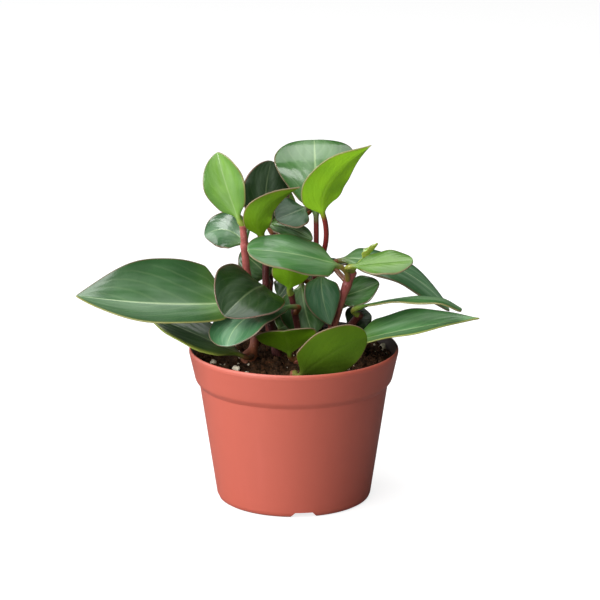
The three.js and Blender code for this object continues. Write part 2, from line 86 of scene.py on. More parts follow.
# Soil
SOIL_LEVEL = 73.5 * MM
SOIL_MOUND = 1.5 * MM
SOIL_ROUGHNESS = 0.9 * MM
SOIL_REAR_RISE = 1.4 * MM
SOIL_RADIUS = 50 * MM
SOIL_FOOT = 4.6 * MM  # its underside, just above the channels' humps
SOIL_SIDES = 300
SOIL_RINGS = 84
FINE_LUMPS = 0.9 * MM
CRUMB_FIELD = 50.2 * MM
CRUMB_MOST = 1.9 * MM
SLIVER_FIELD = 46 * MM
SLIVER_LENGTHS = (1.2 * MM, 3.2 * MM)
SEED = 20829

# Perlite grains, in millimetres: four at places of their own, twelve large ones and many small ones
PERLITE_SEEN = ((-41, -12), (-29.5, -24), (-36, 5), (46, 14))
PERLITE_SEEN_GROWTH = 1.3
PERLITE_DRAWN = 12
PERLITE_SIZE = (1.1, 2)
PERLITE_FIELD = (12, 42)
PERLITE_SMALL = 45
PERLITE_SMALL_SIZE = (0.25, 0.7)
PERLITE_SMALL_FIELD = 49

# Plant
BLADE_THICKNESS = 1.2 * MM
MARGIN_THICKNESS = 0.8 * MM
LEAST_HALF_WIDTH = 0.4 * MM
FLATTEN_OVER = 0.2  # the share of the blade over which its round base flattens
ROW_CROWDING = 1.35  # above 1, more of the mesh's rows lie near the midrib
RIB_SOFTNESS = 0.1
RIB_WIDTH = 1 * MM
SOFT_EDGE = 0.5 * MM
VEIN_SWELL = 0.06 * MM
STALK_SHARE = 0.17  # of a leaf's rings
LEAF_MESH = (82, 72)  # rings, and points round each
STEM_MESH = (130, 28)
STEM_DOME = 0.02  # the share of a stem that its rounded top takes
KNUCKLE_WIDTH = 1.7 * MM
CREASE_DEPTH = 0.14 * MM
CREASE_WIDTH = 0.6 * MM
CREASE_RISE = 2.4 * MM  # how far over a knuckle's middle its crease is
FOOT_SPREAD = (-1 * MM, 7 * MM)  # from and to this far over the soil
YOUNG = 0.35  # leaves below this age have the young finish
VEIN_SLANT = 0.8  # how far a side vein runs on along the blade by the time it reaches the margin
VEIN_ARC = 1.2  # above 1, it curves more towards the tip as it nears the margin
MIDRIB_WIDTH = (0.04, 0.015)  # at the base and the tip, as a share of the half-width

# Tints of the finishes, besides the colours that a user would change
PATCH_TINT = (0.58, 0.68, 0.60)
# Painted shade: the upper side darkened towards its margins, so the middle of the blade looks lit
PAINTED_MARGIN_SHADE = (0.42, 0.58, 0.40)
# Pale streaks: partly streaks along the veins, partly a painted sheen laid on near the midrib
STREAK_AND_SHEEN = (0.42, 0.52, 0.40)
LIME_BASE = (0.17, 0.32, 0.02)
VEIN = (0.48, 0.60, 0.30)
OLD_UNDERSIDE = (0.075, 0.125, 0.04)
LOWER_PATCH_TINT = (0.65, 0.80, 0.9)
LOWER_MIDRIB = (0.36, 0.50, 0.09)
LOWER_VEIN = (0.10, 0.27, 0.02)
# The most that the factor of tone and painted light may brighten an underside
MOST_LOWER_TONE_AND_LIGHT = 1.6
GREEN_STALK = (0.30, 0.42, 0.06)
FLUSH = (0.20, 0.05, 0.03)
# Painted shade darkening the leaves low over the soil, and the heights over which it fades
PAINTED_LOW_SHADE = (0.030, 0.028, 0.008)
PAINTED_LOW_SHADE_HEIGHTS = (76 * MM, 92 * MM)
WOODY_HEIGHTS = (78 * MM, 94 * MM)
STEM_PATCH_TINT = (0.42, 0.32, 0.32)
STEM_SPECK = (0.55, 0.30, 0.24)
SPECK_SPACING = 3.4 * MM
PLASTIC_PATCH = (0.475, 0.081, 0.046)
PLASTIC_FLOW = (0.60, 0.115, 0.080)
WALL_DARKENING_HEIGHTS = (79.2 * MM, 81.8 * MM)
DARK_PEAT = (0.006, 0.004, 0.004)
PERLITE_DUST = (0.30, 0.20, 0.13)

# Camera
VIEW_FROM = (0.0032, -1.8, 0.5945)
VIEW_AT = (0.0032, 0, 0.1048)
VIEW_WIDTH = 600  # pixels
VIEW_FOCUS = 3630  # the focal length, in pixels too
VIEW_ANGLE = 2 * math.atan(VIEW_WIDTH / 2 / VIEW_FOCUS)

# Stage
FLOOR_DROP = 0.05 * MM
FLOOR_CLOUD = 0.96
FLOOR_MIRRORED = 0.3  # how much of the floor's colour glossy skins mirror
SEEN_SKY = 0.9  # how bright the room looks behind the plant


def mix(a, b, share):
    return a + (b - a) * share


def smooth(value, low, high):
    """0 below low, 1 above high, and a soft slope between them."""
    share = min(max((value - low) / (high - low), 0), 1)
    return share * share * (3 - 2 * share)


def hill(distance, width):
    """1 at the middle, falling away evenly on both sides."""
    return math.exp(-((distance / width) ** 2))


class Stem:
    """A stem's middle line in millimetres, from its rooted foot to its top, and its radius at both ends.
    Dark runs from 0, a pink skin, to 1, a maroon one: partly the stem's own colour, partly painted shade on
    the stems deep in the plant. Flare is how far the foot spreads, and flare way where it spreads most."""

    STEPS = 40

    def __init__(self, path, foot, top, dark, flare=0.35, flare_way=(0, 0)):
        self.dark = dark
        self.foot = foot * MM
        self.top = top * MM
        self.flare = flare
        self.flare_way = Vector((*flare_way, 0))
        points = [Vector(p) * MM for p in path]
        points = [2 * points[0] - points[1], *points, 2 * points[-1] - points[-2]]
        self.line = [points[1]]
        for before, start, end, after in zip(points, points[1:], points[2:], points[3:]):
            leave = (end - before) / 2
            arrive = (after - start) / 2
            for i in range(1, self.STEPS + 1):
                t = i / self.STEPS
                self.line.append(
                    start * (2 * t**3 - 3 * t**2 + 1)
                    + leave * (t**3 - 2 * t**2 + t)
                    + end * (3 * t**2 - 2 * t**3)
                    + arrive * (t**3 - t**2)
                )
        self.lengths = [0]
        for a, b in zip(self.line, self.line[1:]):
            self.lengths.append(self.lengths[-1] + (b - a).length)

    def at(self, share):
        """The middle and the heading at a share of the stem's length."""
        reach = min(max(share, 0), 1) * self.lengths[-1]
        i = next(k for k in range(1, len(self.lengths)) if self.lengths[k] >= reach - 1e-12)
        step = self.line[i] - self.line[i - 1]
        part = (reach - self.lengths[i - 1]) / (self.lengths[i] - self.lengths[i - 1])
        return self.line[i - 1] + step * part, step.normalized()

    def at_height(self, height):
        """The middle where the stem passes a height."""
        for a, b in zip(self.line, self.line[1:]):
            if b.z >= height:
                return a + (b - a) * ((height - a.z) / (b.z - a.z))
        return self.line[-1]


stems = {
    "left": Stem(
        [(-25, -8, 50), (-23, -6, 71), (-20, -1, 85), (-21.5, 0, 105), (-24.3, -2, 123), (-26, -5, 147)],
        foot=2.6,
        top=1.7,
        dark=0,
        flare=0.8,
        flare_way=(-1, -0.3),
    ),
    "middle": Stem(
        [(-7, 3, 50), (-8, 2, 72), (-13, 2, 98), (-14.3, 2, 112), (-14, 1, 136)],
        foot=2.6,
        top=1.7,
        dark=0.95,
    ),
    "centre": Stem([(5, 4, 50), (4.5, 4, 74), (2, 4, 89), (-1.5, 3, 108)], foot=2.1, top=1.5, dark=0.9),
    "right": Stem(
        [(14, 11, 50), (16, 9, 73), (20, 8, 88), (25.5, 6, 106), (30.5, 3, 120)],
        foot=2.8,
        top=2.1,
        dark=0.2,
    ),
    "back": Stem(
        [(7, 17, 50), (8, 16, 73), (11.5, 14, 101), (11.5, 11, 125)], foot=2.7, top=1.9, dark=0.8
    ),
    "low_right": Stem(
        [(20, 22, 50), (22, 20, 73), (30, 17, 87), (35, 14, 94)], foot=2.5, top=1.9, dark=0.9
    ),
    "rear_left": Stem(
        [(-12, 24, 50), (-12, 23, 73), (-13, 21, 104), (-10, 19, 136)], foot=2.6, top=1.7, dark=0.8
    ),
    "front_shoot": Stem([(1, -32, 50), (0, -34, 70), (0.5, -35, 77)], foot=2, top=1.7, dark=0.5),
    "centre_shoot": Stem([(3, -10, 50), (2, -11, 72), (1, -12, 77)], foot=2, top=1.7, dark=0.6),
}


class Leaf:
    """One leaf with its stalk. The stalk leaves its stem at a height; the midrib runs from base over mid to
    tip, and face is the way the upper side looks. Widest is where along it the blade is widest, and full
    and point say how its base and its tip taper, from 0, blunt, to 1, pointed. Fold lifts both halves into
    a gutter and curl bends the margins back. Hook is how far the tip drops, and wave how high the margins
    ripple. Age, the stalk's redness and the blue cast run from 0 to 1. Lime of the rim does too, and its
    sign picks the limier margin. A factor multiplies the blade's colour: partly the leaf's own tone, partly
    painted light and shade that make the leaf lighter or darker by how lit it is. Lengths are in
    millimetres."""

    def __init__(
        self, name, stem, at, age, base, mid, tip, face, width, widest=0.5, full=0.6, point=0.6,
        fold=0.2, curl=-0.1, stalk=1.35, red=0.85, blue=0.12, lime=0, shade=1, hook=0, wave=0.5,
    ):
        self.name = name
        self.stem = stem
        self.age = age
        self.red = red
        self.blue = blue
        self.lime = lime
        # Partly the leaf's own tone, partly painted light and shade for how lit the leaf is
        self.shade = shade
        self.hook = hook * MM
        self.wave = wave * MM
        self.base = Vector(base) * MM
        self.tip = Vector(tip) * MM
        self.over = 2 * Vector(mid) * MM - (self.base + self.tip) / 2
        self.face = Vector(face)
        self.half = width * MM / 2
        self.bend = math.log(0.5) / math.log(widest)
        self.full = full
        self.point = point
        self.fold = fold
        self.curl = curl
        self.spread = 1 / math.hypot(1, fold + curl / 2)
        self.stalk = stalk * MM
        self.seat = stems[stem].at_height(at * MM)
        start = (self.over - self.base).normalized()
        self.elbow = self.base - start * (self.seat - self.base).length / 2

    def midrib(self, t):
        """The middle of the blade and its heading."""
        middle = self.base * (1 - t) ** 2 + self.over * 2 * t * (1 - t) + self.tip * t * t
        heading = (self.over - self.base) * (1 - t) + (self.tip - self.over) * t
        return middle, heading.normalized()

    def stalk_line(self, t):
        """The middle of the stalk and its heading."""
        middle = self.seat * (1 - t) ** 2 + self.elbow * 2 * t * (1 - t) + self.base * t * t
        heading = (self.elbow - self.seat) * (1 - t) + (self.base - self.elbow) * t
        return middle, heading.normalized()

    def half_width(self, t):
        outline = max(math.sin(math.pi * min(t**self.bend, 1)), 0)
        return self.half * outline ** mix(self.full, self.point, t)


# In each row the colour factor is partly the leaf's own tone, partly painted light and shade
leaves = [
    Leaf(
        name="far_left", stem="left", at=95, age=1,
        base=(-29, 0, 103.3), mid=(-68, -16, 107), tip=(-111, -19, 112), face=(0.05, -0.6, 0.8),
        width=49, widest=0.47, full=0.25, point=0.9, fold=0.6, curl=-0.08, blue=0.3, shade=2.29, lime=-0.5,
    ),
    Leaf(
        name="low_left", stem="left", at=77, age=0.9,
        base=(-26, -13, 78.5), mid=(-53, -9, 90), tip=(-76, -6, 98.5), face=(0.1, -0.35, 0.9),
        width=25, widest=0.45, full=0.5, point=1, fold=0.1, curl=0, shade=1.69, lime=-1,
    ),
    Leaf(
        name="top_left", stem="left", at=146, age=0.15,
        base=(-27.6, -6, 148.5), mid=(-34.3, -5, 167), tip=(-38.6, -2, 183.2), face=(-0.4, -0.9, 0.25),
        width=24, widest=0.52, full=0.65, point=0.7, fold=0.4, red=0.1, shade=1.1, lime=0.2,
    ),
    Leaf(
        name="left_back", stem="left", at=134, age=0.7,
        base=(-24, 2, 133.5), mid=(-34.5, 7, 140), tip=(-45.8, 13, 135.5), face=(-0.2, -0.75, 0.6),
        width=21, full=0.25, blue=0.6, shade=1.33,
    ),
    Leaf(
        name="front_dark", stem="middle", at=108, age=1,
        base=(-15.5, -5, 113), mid=(-23, -21, 114), tip=(-35, -36, 106), face=(0.32, -0.4, 0.86),
        width=40, full=0.55, fold=0.32, curl=-0.08, shade=0.94,
    ),
    Leaf(
        name="front_low", stem="centre", at=97, age=0.85,
        base=(1, -3, 102), mid=(-23, -20, 101), tip=(-33.5, -36, 90), face=(-0.25, -0.2, 0.95),
        width=33.5, widest=0.6, full=0.45, point=0.45, fold=0.1, curl=-0.05, blue=0.8, shade=2.27,
    ),
    Leaf(
        name="upper_folded", stem="middle", at=135, age=0.2,
        base=(-15.5, -4, 139), mid=(-16.5, -15, 155.3), tip=(3.5, -10, 167), face=(0.1, 0.85, 0.5),
        width=15.5, widest=0.4, full=0.45, point=1, fold=0.3, red=0.2, shade=0.62,
    ),
    Leaf(
        name="centre_front", stem="right", at=111, age=0.5,
        base=(22.8, -4, 123.8), mid=(0.5, -14, 132.5), tip=(-23.5, -21, 136.5), face=(0.05, -0.5, 0.86),
        width=28, widest=0.46, full=0.22, point=0.4, curl=-0.15, red=0.6, blue=0.4, shade=2.26,
    ),
    Leaf(
        name="right_young", stem="right", at=119.3, age=0.2,
        base=(29.7, -6, 124.2), mid=(45, -7, 126.3), tip=(61, -7, 127.3), face=(0, -0.4, 0.92),
        width=20, widest=0.58, full=0.65, point=0.5, fold=0.15, curl=-0.15, red=0.3, shade=0.91,
    ),
    Leaf(
        name="top_large", stem="back", at=124.3, age=0.75,
        base=(11.5, 8, 145), mid=(11, 11, 170), tip=(10.5, 28, 182.5), face=(0, -0.85, 0.5),
        width=42, widest=0.68, full=0.5, point=0.35, fold=0.1, curl=-0.12, red=1, shade=2.1,
    ),
    Leaf(
        name="top_pointed", stem="back", at=118, age=0.15,
        base=(15, -2, 150.4), mid=(18.3, -8, 169.5), tip=(39.5, -9, 188.5), face=(-0.4, 0.85, 0.35),
        width=25, widest=0.42, point=1.1, fold=0.3, red=1, shade=1.45,
    ),
    Leaf(
        name="upper_back", stem="rear_left", at=135, age=1,
        base=(-13, 21, 139), mid=(-14.5, 24, 155), tip=(-11.5, 27, 172), face=(0, -1, 0.15),
        width=25, point=0.55, fold=0.15, shade=0.7,
    ),
    Leaf(
        name="inner_pale", stem="rear_left", at=133, age=0.6,
        base=(6.3, 7, 151.5), mid=(-1, 2, 150), tip=(-9, -2, 147.5), face=(0, -0.6, 0.8),
        width=22, blue=0.8, shade=0.88,
    ),
    Leaf(
        name="inner_dark", stem="rear_left", at=124, age=1,
        base=(-13, 9, 142), mid=(-2, 6.5, 141), tip=(9.5, 3.5, 135.5), face=(0.1, -0.3, 0.95),
        width=18, fold=0.1, shade=3.54,
    ),
    Leaf(
        name="inner_lime", stem="centre", at=107, age=0.2,
        base=(-2.3, 0, 111), mid=(-1.5, -4, 120), tip=(-1, -5, 131), face=(0, 0.85, 0.5),
        width=20, full=0.7, point=0.8, fold=0.25, red=0.15, shade=0.93,
    ),
    Leaf(
        name="centre_hanging", stem="back", at=114, age=0.9,
        base=(14, 5, 117), mid=(15, 1.5, 105), tip=(19, 1, 91), face=(0.1, -0.9, 0.4),
        width=19, widest=0.4, point=0.8, fold=0.15, blue=0.8, shade=1.96,
    ),
    Leaf(
        name="centre_shaded", stem="back", at=106, age=1,
        base=(4, 10, 111), mid=(6, 8.5, 97), tip=(10, 8.5, 84), face=(-0.1, -0.95, 0.3),
        width=27, full=0.5, fold=0.1, curl=-0.05, shade=3.55,
    ),
    Leaf(
        name="behind_right", stem="back", at=97, age=0.8,
        base=(22, 21, 100), mid=(33.5, 20, 103.8), tip=(44.3, 18, 109), face=(-0.2, -0.6, 0.75),
        width=19, fold=0.15, shade=3.76,
    ),
    Leaf(
        name="right_arching", stem="right", at=113, age=0.95,
        base=(23, 12, 122.5), mid=(53.5, 17, 117), tip=(81, 21, 93), face=(0.15, -0.3, 0.95),
        width=26, widest=0.46, full=0.25, point=0.7, fold=0.15, curl=-0.2, blue=0.5, shade=3.23,
    ),
    Leaf(
        name="right_edge_on", stem="low_right", at=92.5, age=0.7,
        base=(32, 8, 98), mid=(59, -6, 107), tip=(86, -11, 105.8), face=(0.05, 0.1, 0.99),
        width=22, widest=0.6, full=0.5, point=0.3, fold=0.1, curl=-0.15, red=0.35, blue=0.3,
        hook=3.2, shade=2.82, lime=0.3,
    ),
    Leaf(
        name="right_low", stem="low_right", at=80, age=0.8,
        base=(28, 3, 80.5), mid=(60, -5, 90.5), tip=(95.3, -9, 97.6), face=(0, -0.12, 0.99),
        width=38, widest=0.38, full=0.22, point=1.1, fold=0.3, curl=-0.05, blue=0.35, shade=3.72, lime=0.7,
    ),
    Leaf(
        name="front_lime", stem="front_shoot", at=76, age=0.3,
        base=(3.5, -40, 76.4), mid=(18.5, -42, 88), tip=(37, -37, 96), face=(-0.25, 0.93, 0.15),
        width=27.5, full=0.3, point=0.45, fold=0.1, curl=-0.05, red=0.4, shade=0.44,
    ),
    Leaf(
        name="low_centre", stem="centre_shoot", at=76, age=0.4,
        base=(-2, -14, 79), mid=(-3.5, -19, 88), tip=(-5, -25, 95.3), face=(0, 0.78, 0.62),
        width=32, widest=0.66, full=0.8, point=0.4, curl=-0.05, shade=0.63,
    ),
    Leaf(
        name="low_shaded", stem="low_right", at=83, age=1,
        base=(28, 21, 85), mid=(33.5, 22, 88.5), tip=(40.5, 24, 89.5), face=(0, -0.6, 0.8),
        width=18, fold=0.1, curl=-0.05, shade=0.6,
    ),
    Leaf(
        name="behind_left", stem="rear_left", at=108, age=0.9,
        base=(-14, 15, 113), mid=(-18, 11, 119.5), tip=(-27.5, 13, 127), face=(0, -0.9, 0.4),
        width=24, fold=0.1, curl=-0.05, shade=1.98,
    ),
    Leaf(
        name="behind_centre", stem="rear_left", at=97, age=1,
        base=(-8, 17.5, 101), mid=(-5, 15, 106), tip=(-2.5, 13.5, 110.5), face=(0, -0.8, 0.6),
        width=14, fold=0.1, curl=-0.05, shade=1.25,
    ),
    Leaf(
        name="rear_left", stem="rear_left", at=98, age=0.9,
        base=(-18, 25, 103), mid=(-36, 36, 105), tip=(-54, 46, 98), face=(-0.1, 0.1, 1),
        width=28, point=0.8, curl=-0.15,
    ),
    Leaf(
        name="rear_low", stem="rear_left", at=86, age=0.8,
        base=(-13, 29, 90), mid=(-17, 44, 93), tip=(-20, 60, 86), face=(0, 0.1, 1),
        width=27, point=0.8, curl=-0.15,
    ),
    Leaf(
        name="rear_bottom", stem="rear_left", at=77, age=1,
        base=(-8, 28, 80), mid=(1, 38, 83), tip=(12, 45, 82.5), face=(0, -0.3, 0.95),
        width=20, shade=3,
    ),
    Leaf(
        name="rear_middle", stem="back", at=103, age=0.9,
        base=(9, 22, 108), mid=(7, 40, 110), tip=(5, 58, 101), face=(0, 0.1, 1),
        width=30, point=0.8, curl=-0.15,
    ),
    Leaf(
        name="rear_right", stem="back", at=88, age=0.6,
        base=(15, 22, 92), mid=(20, 37, 94), tip=(26, 53, 86), face=(0, 0.1, 1),
        width=25, point=0.8, curl=-0.15,
    ),
    Leaf(
        name="rear_upright", stem="rear_left", at=129, age=0.3,
        base=(-8, 27, 134), mid=(-8, 35, 145), tip=(-9, 40, 158), face=(0, -0.7, 0.7),
        width=19, fold=0.25,
    ),
    Leaf(
        name="rear_high_left", stem="rear_left", at=117, age=0.7,
        base=(-8, 25, 122), mid=(-5, 38, 125), tip=(-1, 50, 119), face=(0, 0.1, 1),
        width=24, point=0.7, curl=-0.15,
    ),
    Leaf(
        name="rear_high_right", stem="back", at=110, age=0.8,
        base=(15, 19, 115), mid=(22, 32, 117.5), tip=(30, 44, 111), face=(0, 0.1, 1),
        width=22, point=0.7, curl=-0.15,
    ),
    Leaf(
        name="new_spear", stem="right", at=117.5, age=0, stalk=0.9, red=0.1,
        base=(35, 5, 124.5), mid=(39.5, 4.5, 129), tip=(43, 5, 133.8), face=(-0.5, 0, 0.8),
        width=5.5, widest=0.4, full=0.8, point=1, fold=0.9, curl=0.3, shade=2, lime=1,
    ),
]


class PotSettings(bpy.types.PropertyGroup):
    sides: IntProperty(name="Sides", description="Faces round the pot", default=180, min=24)
    corner: FloatProperty(
        name="Corner", description="Rounding of the moulded corners", default=0.45 * MM, unit="LENGTH"
    )
    colour: FloatVectorProperty(
        name="Plastic", description="Colour of the plastic",
        default=(0.535, 0.098, 0.057), subtype="COLOR",
    )
    # Darkens the rim band's inner face near the soil, almost to black
    wall_darkening: FloatVectorProperty(
        name="Wall darkening", description="Soil that clings to the inner wall", default=(0.018, 0.009, 0.006),
        subtype="COLOR",
    )


class SoilSettings(bpy.types.PropertyGroup):
    crumbs: IntProperty(name="Crumbs", description="Loose crumbs on the soil", default=520, min=0)
    slivers: IntProperty(name="Slivers", description="Bits of bark and fibre", default=70, min=0)
    colour: FloatVectorProperty(
        name="Peat", description="Colour of the moist peat",
        default=(0.078, 0.036, 0.015), subtype="COLOR",
    )
    bark: FloatVectorProperty(
        name="Bark", description="Colour of the bark in it", default=(0.28, 0.10, 0.042), subtype="COLOR"
    )
    perlite: FloatVectorProperty(
        name="Perlite", description="Colour of the white grains",
        default=(0.86, 0.77, 0.60), subtype="COLOR",
    )


class StemSettings(bpy.types.PropertyGroup):
    knuckle: FloatProperty(
        name="Knuckle", description="How far a stem swells where a leaf grows",
        default=0.3 * MM, unit="LENGTH",
    )
    colour: FloatVectorProperty(
        name="Skin", description="Colour of a pink stem", default=(0.44, 0.11, 0.10), subtype="COLOR"
    )
    dark: FloatVectorProperty(
        name="Maroon", description="Colour of a dark stem", default=(0.085, 0.012, 0.012), subtype="COLOR"
    )
    foot: FloatVectorProperty(
        name="Foot", description="Colour of the woody foot", default=(0.42, 0.13, 0.055), subtype="COLOR"
    )


class LeafSettings(bpy.types.PropertyGroup):
    laterals: FloatProperty(name="Side veins", description="Side veins along the midrib", default=5, min=1)
    rib: FloatProperty(
        name="Rib", description="How far the midrib stands out below", default=0.22 * MM, unit="LENGTH"
    )
    groove: FloatProperty(
        name="Groove", description="Depth of the midrib's groove above", default=0.20 * MM, unit="LENGTH"
    )
    fresh: FloatVectorProperty(
        name="Fresh", description="Upper side of a new leaf", default=(0.22, 0.42, 0.06), subtype="COLOR"
    )
    green: FloatVectorProperty(
        name="Green", description="Upper side of a half-grown leaf",
        default=(0.055, 0.17, 0.024), subtype="COLOR",
    )
    dark: FloatVectorProperty(
        name="Dark", description="Upper side of an old leaf",
        default=(0.017, 0.048, 0.007), subtype="COLOR",
    )
    bloom: FloatVectorProperty(
        name="Bloom", description="Blue-green cast of some leaves",
        default=(0.043, 0.115, 0.070), subtype="COLOR",
    )
    under: FloatVectorProperty(
        name="Underside", description="Underside of a leaf", default=(0.20, 0.40, 0.010), subtype="COLOR"
    )
    margin: FloatVectorProperty(
        name="Margin", description="Thin rim of most leaves", default=(0.32, 0.21, 0.17), subtype="COLOR"
    )
    lime: FloatVectorProperty(
        name="Lime rim", description="Rim of the leaves that have a lime one", default=(0.42, 0.50, 0.08),
        subtype="COLOR",
    )
    stalk: FloatVectorProperty(
        name="Stalk", description="Reddest leaf stalk", default=(0.23, 0.025, 0.025), subtype="COLOR"
    )


class StageSettings(bpy.types.PropertyGroup):
    floor: FloatVectorProperty(
        name="Floor", description="How much light the floor gives back", default=(0.40, 0.40, 0.40),
        subtype="COLOR",
    )
    glow: FloatProperty(name="Glow", description="How far the floor is lifted towards white", default=0.8)
    key: FloatProperty(name="Key", description="Power of the main light", default=15.5, unit="POWER")
    window: FloatProperty(
        name="Window", description="Power of the low light on the left", default=13, unit="POWER"
    )
    top: FloatProperty(name="Top", description="Power of the overhead light", default=12, unit="POWER")
    front: FloatProperty(
        name="Front", description="Power of the front light", default=10, unit="POWER"
    )
    edge: FloatProperty(
        name="Edge", description="Power of the light behind on the left", default=7, unit="POWER"
    )
    sky: FloatProperty(name="Sky", description="Strength of the light all round", default=0.10)
    shine: FloatProperty(
        name="Shine", description="Strength of the white room in glossy skins", default=0.05
    )


# Meshes


def eased(profile, radius, steps=4):
    """A profile's points with each inner corner rounded by a short curve."""
    points = [Vector(p) for p in profile]
    smoothed = [points[0]]
    for before, corner, after in zip(points, points[1:], points[2:]):
        reach = min(radius, (corner - before).length * 0.45, (after - corner).length * 0.45)
        enter = corner + (before - corner).normalized() * reach
        leave = corner + (after - corner).normalized() * reach
        for i in range(steps + 1):
            t = i / steps
            smoothed.append(enter * (1 - t) ** 2 + corner * 2 * t * (1 - t) + leave * t * t)
    return [*smoothed, points[-1]]


def turned(profile, sides):
    """A closed body turned about Z from (radius, height) points, the first and last of them on the axis."""
    bm = bmesh.new()
    verts = [bm.verts.new((r, 0, z)) for r, z in profile]
    edges = [bm.edges.new(pair) for pair in zip(verts, verts[1:])]
    bmesh.ops.spin(
        bm,
        geom=verts + edges,
        cent=(0, 0, 0),
        axis=(0, 0, 1),
        angle=2 * math.pi,
        steps=sides,
        use_merge=True,
    )
    bmesh.ops.remove_doubles(bm, verts=bm.verts, dist=0.001 * MM)
    bmesh.ops.recalc_face_normals(bm, faces=bm.faces)
    return bm


def closed_rod(rings, around, place):
    """A rod that starts as a flat grid: place puts each vertex by its share along and its share around."""
    bm = bmesh.new()
    names = ("leaf_place", "leaf_kind", "skin_tone")
    layers = {name: bm.verts.layers.float_vector.new(name) for name in names}
    layers["leaf_edge"] = bm.verts.layers.float.new("leaf_edge")
    bmesh.ops.create_grid(bm, x_segments=rings, y_segments=around, size=0.5)
    for vert in bm.verts:
        place(vert, layers, vert.co.x + 0.5, vert.co.y + 0.5)
    bmesh.ops.remove_doubles(bm, verts=bm.verts, dist=0.001 * MM)
    bmesh.ops.holes_fill(bm, edges=[e for e in bm.edges if e.is_boundary], sides=0)
    bmesh.ops.recalc_face_normals(bm, faces=bm.faces)
    return bm


def piece(bm, name, material, sharp=None):
    """The finished object of a bmesh, on the root body, shaded smooth."""
    if not bm.faces or not all(edge.is_manifold for edge in bm.edges):
        raise RuntimeError(f"{name} isn't a closed body")
    mesh = bpy.data.meshes.new(name)
    for face in bm.faces:
        face.smooth = True
    bm.to_mesh(mesh)
    bm.free()
    if sharp is not None:
        mesh.set_sharp_from_angle(angle=math.radians(sharp))
    mesh.materials.append(material)
    made = bpy.data.objects.new(name, mesh)
    bpy.context.scene.collection.objects.link(made)
    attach(made, "root")
    return made


# Finishes


class Tree:
    """Short calls that build a shader's nodes."""

    def __init__(self, tree):
        self.tree = tree

    def feed(self, socket, value):
        if isinstance(value, bpy.types.NodeSocket):
            self.tree.links.new(value, socket)
        elif socket.type == "RGBA":
            socket.default_value = (*value[:3], 1)
        else:
            socket.default_value = value

    def node(self, kind, inputs=None, **settings):
        made = self.tree.nodes.new(kind)
        for name, value in settings.items():
            setattr(made, name, value)
        for name, value in (inputs or {}).items():
            self.feed(made.inputs[name], value)
        return made

    def calc(self, operation, *values):
        return self.node("ShaderNodeMath", dict(enumerate(values)), operation=operation).outputs[0]

    def blend(self, share, a, b, way="MIX"):
        inputs = {0: share, 6: a, 7: b}
        return self.node("ShaderNodeMix", inputs, data_type="RGBA", blend_type=way).outputs[2]

    def cover(self, colour, mask, share, over):
        """A colour with another laid over it where a mask is, by a share of the mask."""
        return self.blend(self.calc("MULTIPLY", mask, share), colour, over)

    def tinted(self, colour, by):
        return self.blend(1.0, colour, by, "MULTIPLY")

    def scaled(self, colour, by):
        return self.node("ShaderNodeVectorMath", {0: colour, "Scale": by}, operation="SCALE").outputs[0]

    def level(self, share, a, b):
        inputs = {0: share, 2: a, 3: b}
        return self.node("ShaderNodeMix", inputs, data_type="FLOAT").outputs[0]

    def rise(self, value, low, high):
        """0 below low and 1 above high, with a soft slope between them."""
        inputs = {"Value": value, "From Min": low, "From Max": high}
        return self.node("ShaderNodeMapRange", inputs, interpolation_type="SMOOTHSTEP").outputs[0]

    def fall(self, value, low, high):
        """1 below low and 0 above high, with a soft slope between them."""
        return self.calc("SUBTRACT", 1.0, self.rise(value, low, high))

    def place(self):
        return self.node("ShaderNodeTexCoord").outputs["Object"]

    def stretched(self, scale):
        """The place on the object, with each coordinate times its own scale."""
        return self.node("ShaderNodeMapping", {"Vector": self.place(), "Scale": scale}).outputs[0]

    def parts(self, vector):
        return self.node("ShaderNodeSeparateXYZ", {0: vector}).outputs

    def speckle(self, size, detail=3, rough=0.5, vector=None):
        """Noise whose patches are about a size across, in metres."""
        inputs = {"Vector": vector or self.place(), "Scale": 1 / size, "Detail": detail, "Roughness": rough}
        return self.node("ShaderNodeTexNoise", inputs).outputs["Fac"]

    def attribute(self, name):
        return self.node("ShaderNodeAttribute", attribute_name=name).outputs

    def marks(self, name):
        """The three values that each vertex keeps under a name."""
        return self.parts(self.attribute(name)["Vector"])

    def bump(self, height, depth):
        inputs = {"Height": height, "Strength": 1, "Distance": depth}
        return self.node("ShaderNodeBump", inputs).outputs[0]

    def use(self, group, inputs):
        return self.node("ShaderNodeGroup", inputs, node_tree=bpy.data.node_groups[group]).outputs

    def mottle(self, patch, grain):
        return self.use("mottling", {"Patch Size": patch * MM, "Grain Size": grain * MM})


def new_group(name, inputs, outputs):
    """An empty node group and its two ends."""
    group = bpy.data.node_groups.new(name, "ShaderNodeTree")
    for label in inputs:
        group.interface.new_socket(label, in_out="INPUT", socket_type="NodeSocketFloat")
    for label in outputs:
        group.interface.new_socket(label, in_out="OUTPUT", socket_type="NodeSocketFloat")
    tree = Tree(group)
    return tree, tree.node("NodeGroupInput").outputs, tree.node("NodeGroupOutput").inputs


def finish(name, constants):
    """A new material with its tree and its shader, whose even values are set on its own sockets."""
    material = bpy.data.materials.new(name)
    material.use_nodes = True
    shader = material.node_tree.nodes["Principled BSDF"]
    tree = Tree(material.node_tree)
    for label, value in constants.items():
        tree.feed(shader.inputs[label], value)
    return material, tree, shader.inputs


def make_mottling():
    """Patches and fine grain that every grown or moulded surface has in some measure."""
    if "mottling" in bpy.data.node_groups:
        return
    tree, given, made = new_group("mottling", ["Patch Size", "Grain Size"], ["Patches", "Grain"])
    for size, detail, output in (("Patch Size", 3, "Patches"), ("Grain Size", 2, "Grain")):
        scale = tree.calc("DIVIDE", 1.0, given[size])
        inputs = {"Vector": tree.place(), "Scale": scale, "Detail": detail}
        value = tree.node("ShaderNodeTexNoise", inputs).outputs["Fac"]
        tree.feed(made[output], tree.rise(value, 0.35, 0.65))


